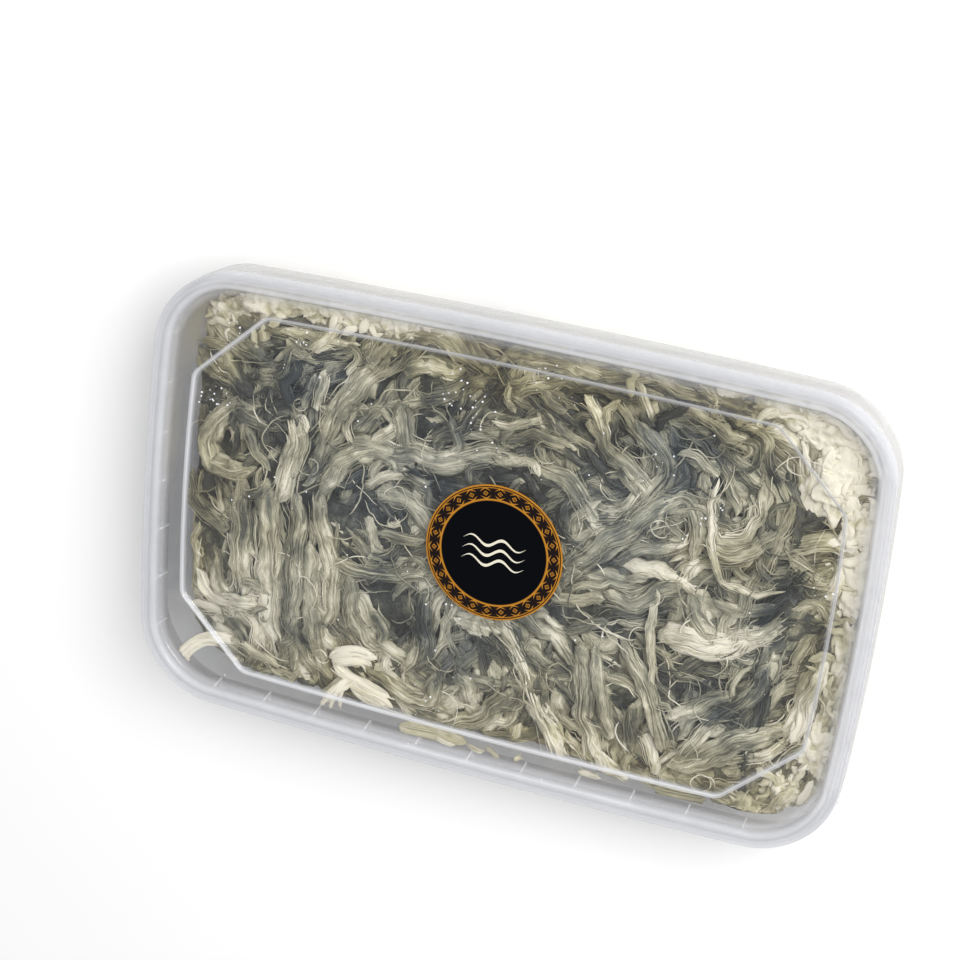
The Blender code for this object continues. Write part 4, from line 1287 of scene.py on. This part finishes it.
def press_in(piece, margin):
    """Moves what stands out of the room in the tub back against its walls, floor and lid."""
    mesh = piece.data
    spots = np.empty(len(mesh.vertices) * 3)
    mesh.vertices.foreach_get("co", spots)
    spots = spots.reshape(-1, 3) / MM
    spots[:, 2] -= DEPTH
    spots[:, 2] = np.clip(spots[:, 2], -DEPTH + WALL + margin, ROOM_TOP)
    for spot in spots:
        spot[0], spot[1] = inside(spot[0], spot[1], spot[2], margin)
    spots[:, 2] += DEPTH
    mesh.vertices.foreach_set("co", (spots * MM).ravel())
    mesh.update()


def tell_flesh(piece, tone=None):
    """Gives a piece that has no strands the attributes that the cheese's finish reads."""
    mesh = piece.data
    places = [(v.co.x / MM, v.co.y / MM, v.co.z / MM) for v in mesh.vertices]
    mesh.attributes.new("fibre", "FLOAT_VECTOR", "POINT").data.foreach_set("vector", [c for p in places for c in p])
    if tone is not None:
        buried = [ease(heap_level(x, y) + DEPTH - z, 6.5, 10.0) for x, y, z in places]
        tones = [tone + max(0.0, tone_at(x, y, 0.0)) * 1.3 + 0.3 * deep for (x, y, _), deep in zip(places, buried)]
        mesh.attributes.new("tone", "FLOAT", "POINT").data.foreach_set("value", tones)
    mesh.attributes.new("warm", "FLOAT", "POINT").data.foreach_set("value", [warmth_at(x, y) for x, y, _ in places])
    return piece


def make_core(finish):
    """The heap under the strands, near black: painted shade for the gaps between them. A fine uneven sheet on top,
    and walls and a floor a little behind them.
    """
    shape = bmesh.new()
    steps_x, steps_y = 150, 94
    bmesh.ops.create_grid(shape, x_segments=steps_x, y_segments=steps_y, size=0.5)
    top = shape.verts[:]
    floor = -DEPTH + WALL + 1.0
    for vertex in top:
        x, y = vertex.co.x * LENGTH, vertex.co.y * WIDTH
        rough = 2.6 * noise.noise(Vector((x / 6, y / 6, 4.0))) + 1.6 * noise.noise(Vector((x / 2.4, y / 2.4, 9.0)))
        z = heap_level(x, y) - 2.6 + rough
        x, y = inside(x, y, z, 0.9)
        vertex.co = Vector(world((x, y, z)))
    rim = [edge for edge in shape.edges if edge.is_boundary]
    for z in (-24.0, -31.0, -36.0, floor):
        made = bmesh.ops.extrude_edge_only(shape, edges=rim)["geom"]
        for item in made:
            if isinstance(item, bmesh.types.BMVert):
                x, y = inside(item.co.x / MM * 1.02, item.co.y / MM * 1.02, z, 0.9 if z > floor else 3.5)
                item.co = Vector(world((x, y, z + (0.8 * noise.noise(Vector((x / 5, y / 5, z))) if z > floor else 0.0))))
        rim = [item for item in made if isinstance(item, bmesh.types.BMEdge)]
    bmesh.ops.holes_fill(shape, edges=rim)
    bmesh.ops.remove_doubles(shape, verts=shape.verts, dist=1e-6)
    return tell_flesh(finish_shape("cheese_core", shape, finish, 180.0), 0.04)


def make_lumps(finish):
    """Pale ragged masses that stand out of the heap."""
    shape = bmesh.new()
    pale = shape.verts.layers.float.new("tone")
    for (x, y), size, rise, tone in LUMPS:
        middle = placed(x, y, rise - 1.0)
        off = Vector((x, y, 0.0))
        for vertex in bmesh.ops.create_icosphere(shape, subdivisions=LUMP_CUTS, radius=1.0)["verts"]:
            way = vertex.co.normalized()
            out = Vector((way.x * size[0], way.y * size[1], way.z * size[2]))
            torn = abs(noise.noise(out * 0.22 + off)) * 1.6 - 0.35
            crumb = noise.noise(out * 0.42 + off) * 0.6 + abs(noise.noise(out * 0.8 + off)) * 0.4
            run = math.sin(x * 1.7 + y)
            across = Vector((out.x * run - out.y * (1 - abs(run)), out.y * 0.25 + out.x * 0.12, out.z))
            crumb += noise.noise(across * 0.75 + off) * 0.6 + noise.noise(across * 1.7 + off) * 0.25
            spread = 1 + 0.5 * noise.noise(way * 1.7 + off) + 0.3 * noise.noise(way * 4.5 + off)
            lift = (torn + crumb) * min(2.0, size[2] * 0.6)
            spot = Vector((out.x * spread, out.y * spread, out.z)) + way * lift * 0.7
            vertex.co = Vector(world(middle + spot))
            # The tone follows the bumps: paler where the surface stands out and darker in its dips, painted shade in
            # the dips.
            vertex[pale] = tone - 0.12 + 0.3 * (torn + crumb)
    return tell_flesh(finish_shape("cheese_lumps", shape, finish, 180.0))


def flake_guides(draw):
    """Short broad flakes torn off at the pale lumps."""
    made = []
    for (x, y), size, rise, tone in LUMPS:
        for _ in range(round(2 + size[0] * size[1] / (5 if x > 60 else 9) * (x > 60 or y > 55))):
            px, py = x + draw.gauss(0, 0.62) * size[0], y + draw.gauss(0, 0.62) * size[1]
            turn, points = draw.uniform(0, math.tau), []
            lift = rise + draw.uniform(0.0, 2.2)
            for _ in range(draw.randrange(3, 6)):
                qx, qy = inside(px, py, HEAP_TOP, 1.0)
                spot = placed(qx, qy, lift + draw.gauss(0, 0.4))
                points.append(spot)
                turn += draw.gauss(0, 0.5)
                px, py = px + math.cos(turn) * 2.6, py + math.sin(turn) * 2.6
            line = wavy(smooth_route(points, 1.3), draw.uniform(0, 500), 0.8, 5.0)
            made.append(Guide(line, draw.uniform(1.2, 3.4), tone + draw.uniform(-0.32, 0.02)))
    return made


def make_cheese():
    draw = random.Random(CHEESE_SEED)
    flesh = cheese_finish("string_cheese", 1.0)
    pale = cheese_finish("string_cheese_pale", 0.45)
    # The core's finish: painted shade, dark where the gaps between the strands show it.
    dark = cheese_finish("string_cheese_core", 0.8)
    main = []
    for width, tone, plan in STRANDS:
        route = [placed(x, y, draw.uniform(-0.2, 1.8)) for x, y in plan]
        main.append(Guide(wavy(smooth_route(route, 2.0), draw.uniform(0, 500), 0.9), width, tone))
    thin = []
    for width, tone, plan in THIN_STRANDS:
        rise = draw.uniform(1.6, 3.0)
        route = [placed(x, y, rise) for x, y in plan]
        thin.append(Guide(wavy(smooth_route(route, 1.6), draw.uniform(0, 500), 1.1), width, tone))
    thin += curl_guides(random.Random(CHEESE_SEED + 1), 60)
    low = fill_ins(random.Random(CHEESE_SEED + 2), main, 360, -3.6, -1.4, (4.5, 7.5))
    high = fill_ins(random.Random(CHEESE_SEED + 3), main, 260, -1.4, 1.0, (2.0, 4.6))
    walls = wall_guides(random.Random(CHEESE_SEED + 4))
    loose = loose_guides(random.Random(CHEESE_SEED + 5), 200)
    tree = strand_tree()
    single = [Guide(smooth_route([Vector(p) for p in route], 1.6), width, tone) for width, tone, route in (*PALE_SHREDS, *LOW_BITS)]
    flakes = flake_guides(random.Random(CHEESE_SEED + 6))
    body = {"Threads": 1, "Share": 0.96, "Flatness": 0.55, "Waver": 0.002, "Ridges": 1.8, "Bluntness": 4.0, "Tone Range": 0.1, "Material": flesh}
    threads = {"Share": 0.0, "Flatness": 0.6, "Fray": 0.9, "Waver": 0.001, "Trim": 0.3, "Ridges": 0.4, "Tone Range": 0.2, "Material": flesh}
    hairs = {**threads, "Spread": 1.25, "Thread Width": 0.00034, "Flatness": 0.8, "Waver": 0.0036, "Fray": 1.8, "Sides": 3}
    pieces = [
        grow("strands", guide_mesh("g", main + thin), tree, {**body, "Sides": 20, "Seed": 1}),
        grow("strands_low", guide_mesh("g", low), tree, {**body, "Sides": 12, "Seed": 2}),
        grow("strands_high", guide_mesh("g", high), tree, {**body, "Flatness": 0.45, "Bluntness": 3.0, "Sides": 12, "Seed": 3}),
        grow("strands_at_wall", guide_mesh("g", walls), tree, {**body, "Sides": 6, "Seed": 4}),
        grow("flakes", guide_mesh("g", flakes), tree, {**body, "Flatness": 0.35, "Ridges": 1.7, "Bluntness": 3.0, "Sides": 12, "Seed": 11, "Material": pale}),
        grow("threads", guide_mesh("g", main), tree, {**threads, "Threads": 9, "Spread": 0.98, "Thread Width": 0.0007, "Sides": 5, "Seed": 5}),
        grow("threads_thin", guide_mesh("g", thin), tree, {**threads, "Threads": 3, "Spread": 1.0, "Thread Width": 0.0005, "Sides": 4, "Seed": 6}),
        grow("threads_low", guide_mesh("g", low), tree, {**threads, "Threads": 2, "Spread": 0.98, "Thread Width": 0.0008, "Sides": 4, "Seed": 7}),
        grow("threads_high", guide_mesh("g", high), tree, {**threads, "Threads": 4, "Spread": 1.0, "Thread Width": 0.0005, "Sides": 4, "Seed": 8}),
        grow("hairs", guide_mesh("g", main + thin + high), tree, {**hairs, "Threads": 5, "Seed": 9}),
        grow("loose_fibres", guide_mesh("g", loose), tree, {"Share": 0.42, "Flatness": 0.6, "Waver": 0.002, "Sides": 5, "Seed": 10, "Ridges": 0.3, "Material": flesh}),
        grow("pale_shreds", guide_mesh("g", single), tree, {**body, "Flatness": 0.5, "Waver": 0.0014, "Ridges": 0.9, "Sides": 22, "Seed": 13, "Material": pale}),
        grow("pale_threads", guide_mesh("g", single), tree, {**threads, "Threads": 6, "Spread": 0.9, "Thread Width": 0.0006, "Fray": 1.6, "Sides": 4, "Seed": 12, "Material": pale}),
        make_core(dark),
        make_lumps(pale),
    ]
    for piece in pieces:
        press_in(piece, -0.25)
    return pieces


# The studio


def make_studio():
    mesh = bpy.data.meshes.new("floor")
    half = FLOOR_SIZE / 2
    mesh.from_pydata([(-half, -half, 0), (half, -half, 0), (half, half, 0), (-half, half, 0)], [], [(0, 1, 2, 3)])
    finish, tree = new_finish("studio_floor")
    put(tree, "ShaderNodeOutputMaterial", {0: put(tree, "ShaderNodeBsdfDiffuse", {"Color": (0.93, 0.93, 0.93, 1.0)}).outputs[0]})
    floor = add_object("floor", mesh, finish)
    sky = bpy.data.worlds.new("studio")
    sky.use_nodes = True
    sky.node_tree.nodes["Background"].inputs[0].default_value = (1.0, 1.0, 1.0, 1.0)
    sky.node_tree.nodes["Background"].inputs[1].default_value = 0.5
    bpy.context.scene.world = sky
    for name, place, size, power in (("key", (0.82, 0.7, 1.2), 0.9, 24.0), ("fill", (-0.2, 0.9, 1.2), 0.9, 3.0)):
        lamp = bpy.data.lights.new(name, "AREA")
        lamp.size = size
        lamp.energy = power
        holder = bpy.data.objects.new(name, lamp)
        holder.location = place
        holder.rotation_euler = (-Vector(place)).to_track_quat("-Z", "Y").to_euler()
        bpy.context.scene.collection.objects.link(holder)


def make_camera():
    camera = bpy.data.cameras.new("camera")
    camera.lens = LENS
    camera.sensor_width = 36.0
    camera.clip_end = 20.0
    holder = bpy.data.objects.new("camera", camera)
    holder.location = EYE
    holder.rotation_euler = Euler([math.radians(turn) for turn in EYE_TURN])
    bpy.context.scene.collection.objects.link(holder)
    bpy.context.scene.camera = holder


def main():
    make_camera()
    make_studio()
    bpy.context.scene.view_settings.view_transform = "Standard"
    tub_plastic = clear_plastic("clear_tub", (0.93, 0.93, 0.93, 1.0), (0.78, 0.77, 0.765, 1.0), 0.22, 0.1, 0.5)
    # The ribs and the tab's edge glow faintly: painted light.
    rib_plastic = clear_plastic("clear_edges_glowing", (0.97, 0.97, 0.97, 1.0), (0.8, 0.8, 0.8, 1.0), 0.1, 0.1, 0.3, 0.25)
    lid_plastic = clear_plastic("clear_lid", (0.97, 0.97, 0.975, 1.0), (0.90, 0.91, 0.95, 1.0), 0.3, 0.08, 0.3)
    dressed = [
        (make_tub(tub_plastic), "tub", "clear_tub"),
        *((piece, "tub", "clear_tub") for piece in make_ribs(rib_plastic)),
        (make_tab(rib_plastic), "tub", "clear_tub"),
        (make_lid(lid_plastic), "lid", "clear_lid"),
        (make_dew(), "lid", "clear_lid"),
        (make_label(label_finish()), "label", "label_print"),
    ]
    dressed += [(piece, "cheese", "string_cheese") for piece in make_cheese()]
    for piece, node, slot in dressed:
        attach(piece, "root")
        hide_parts(node)


main()
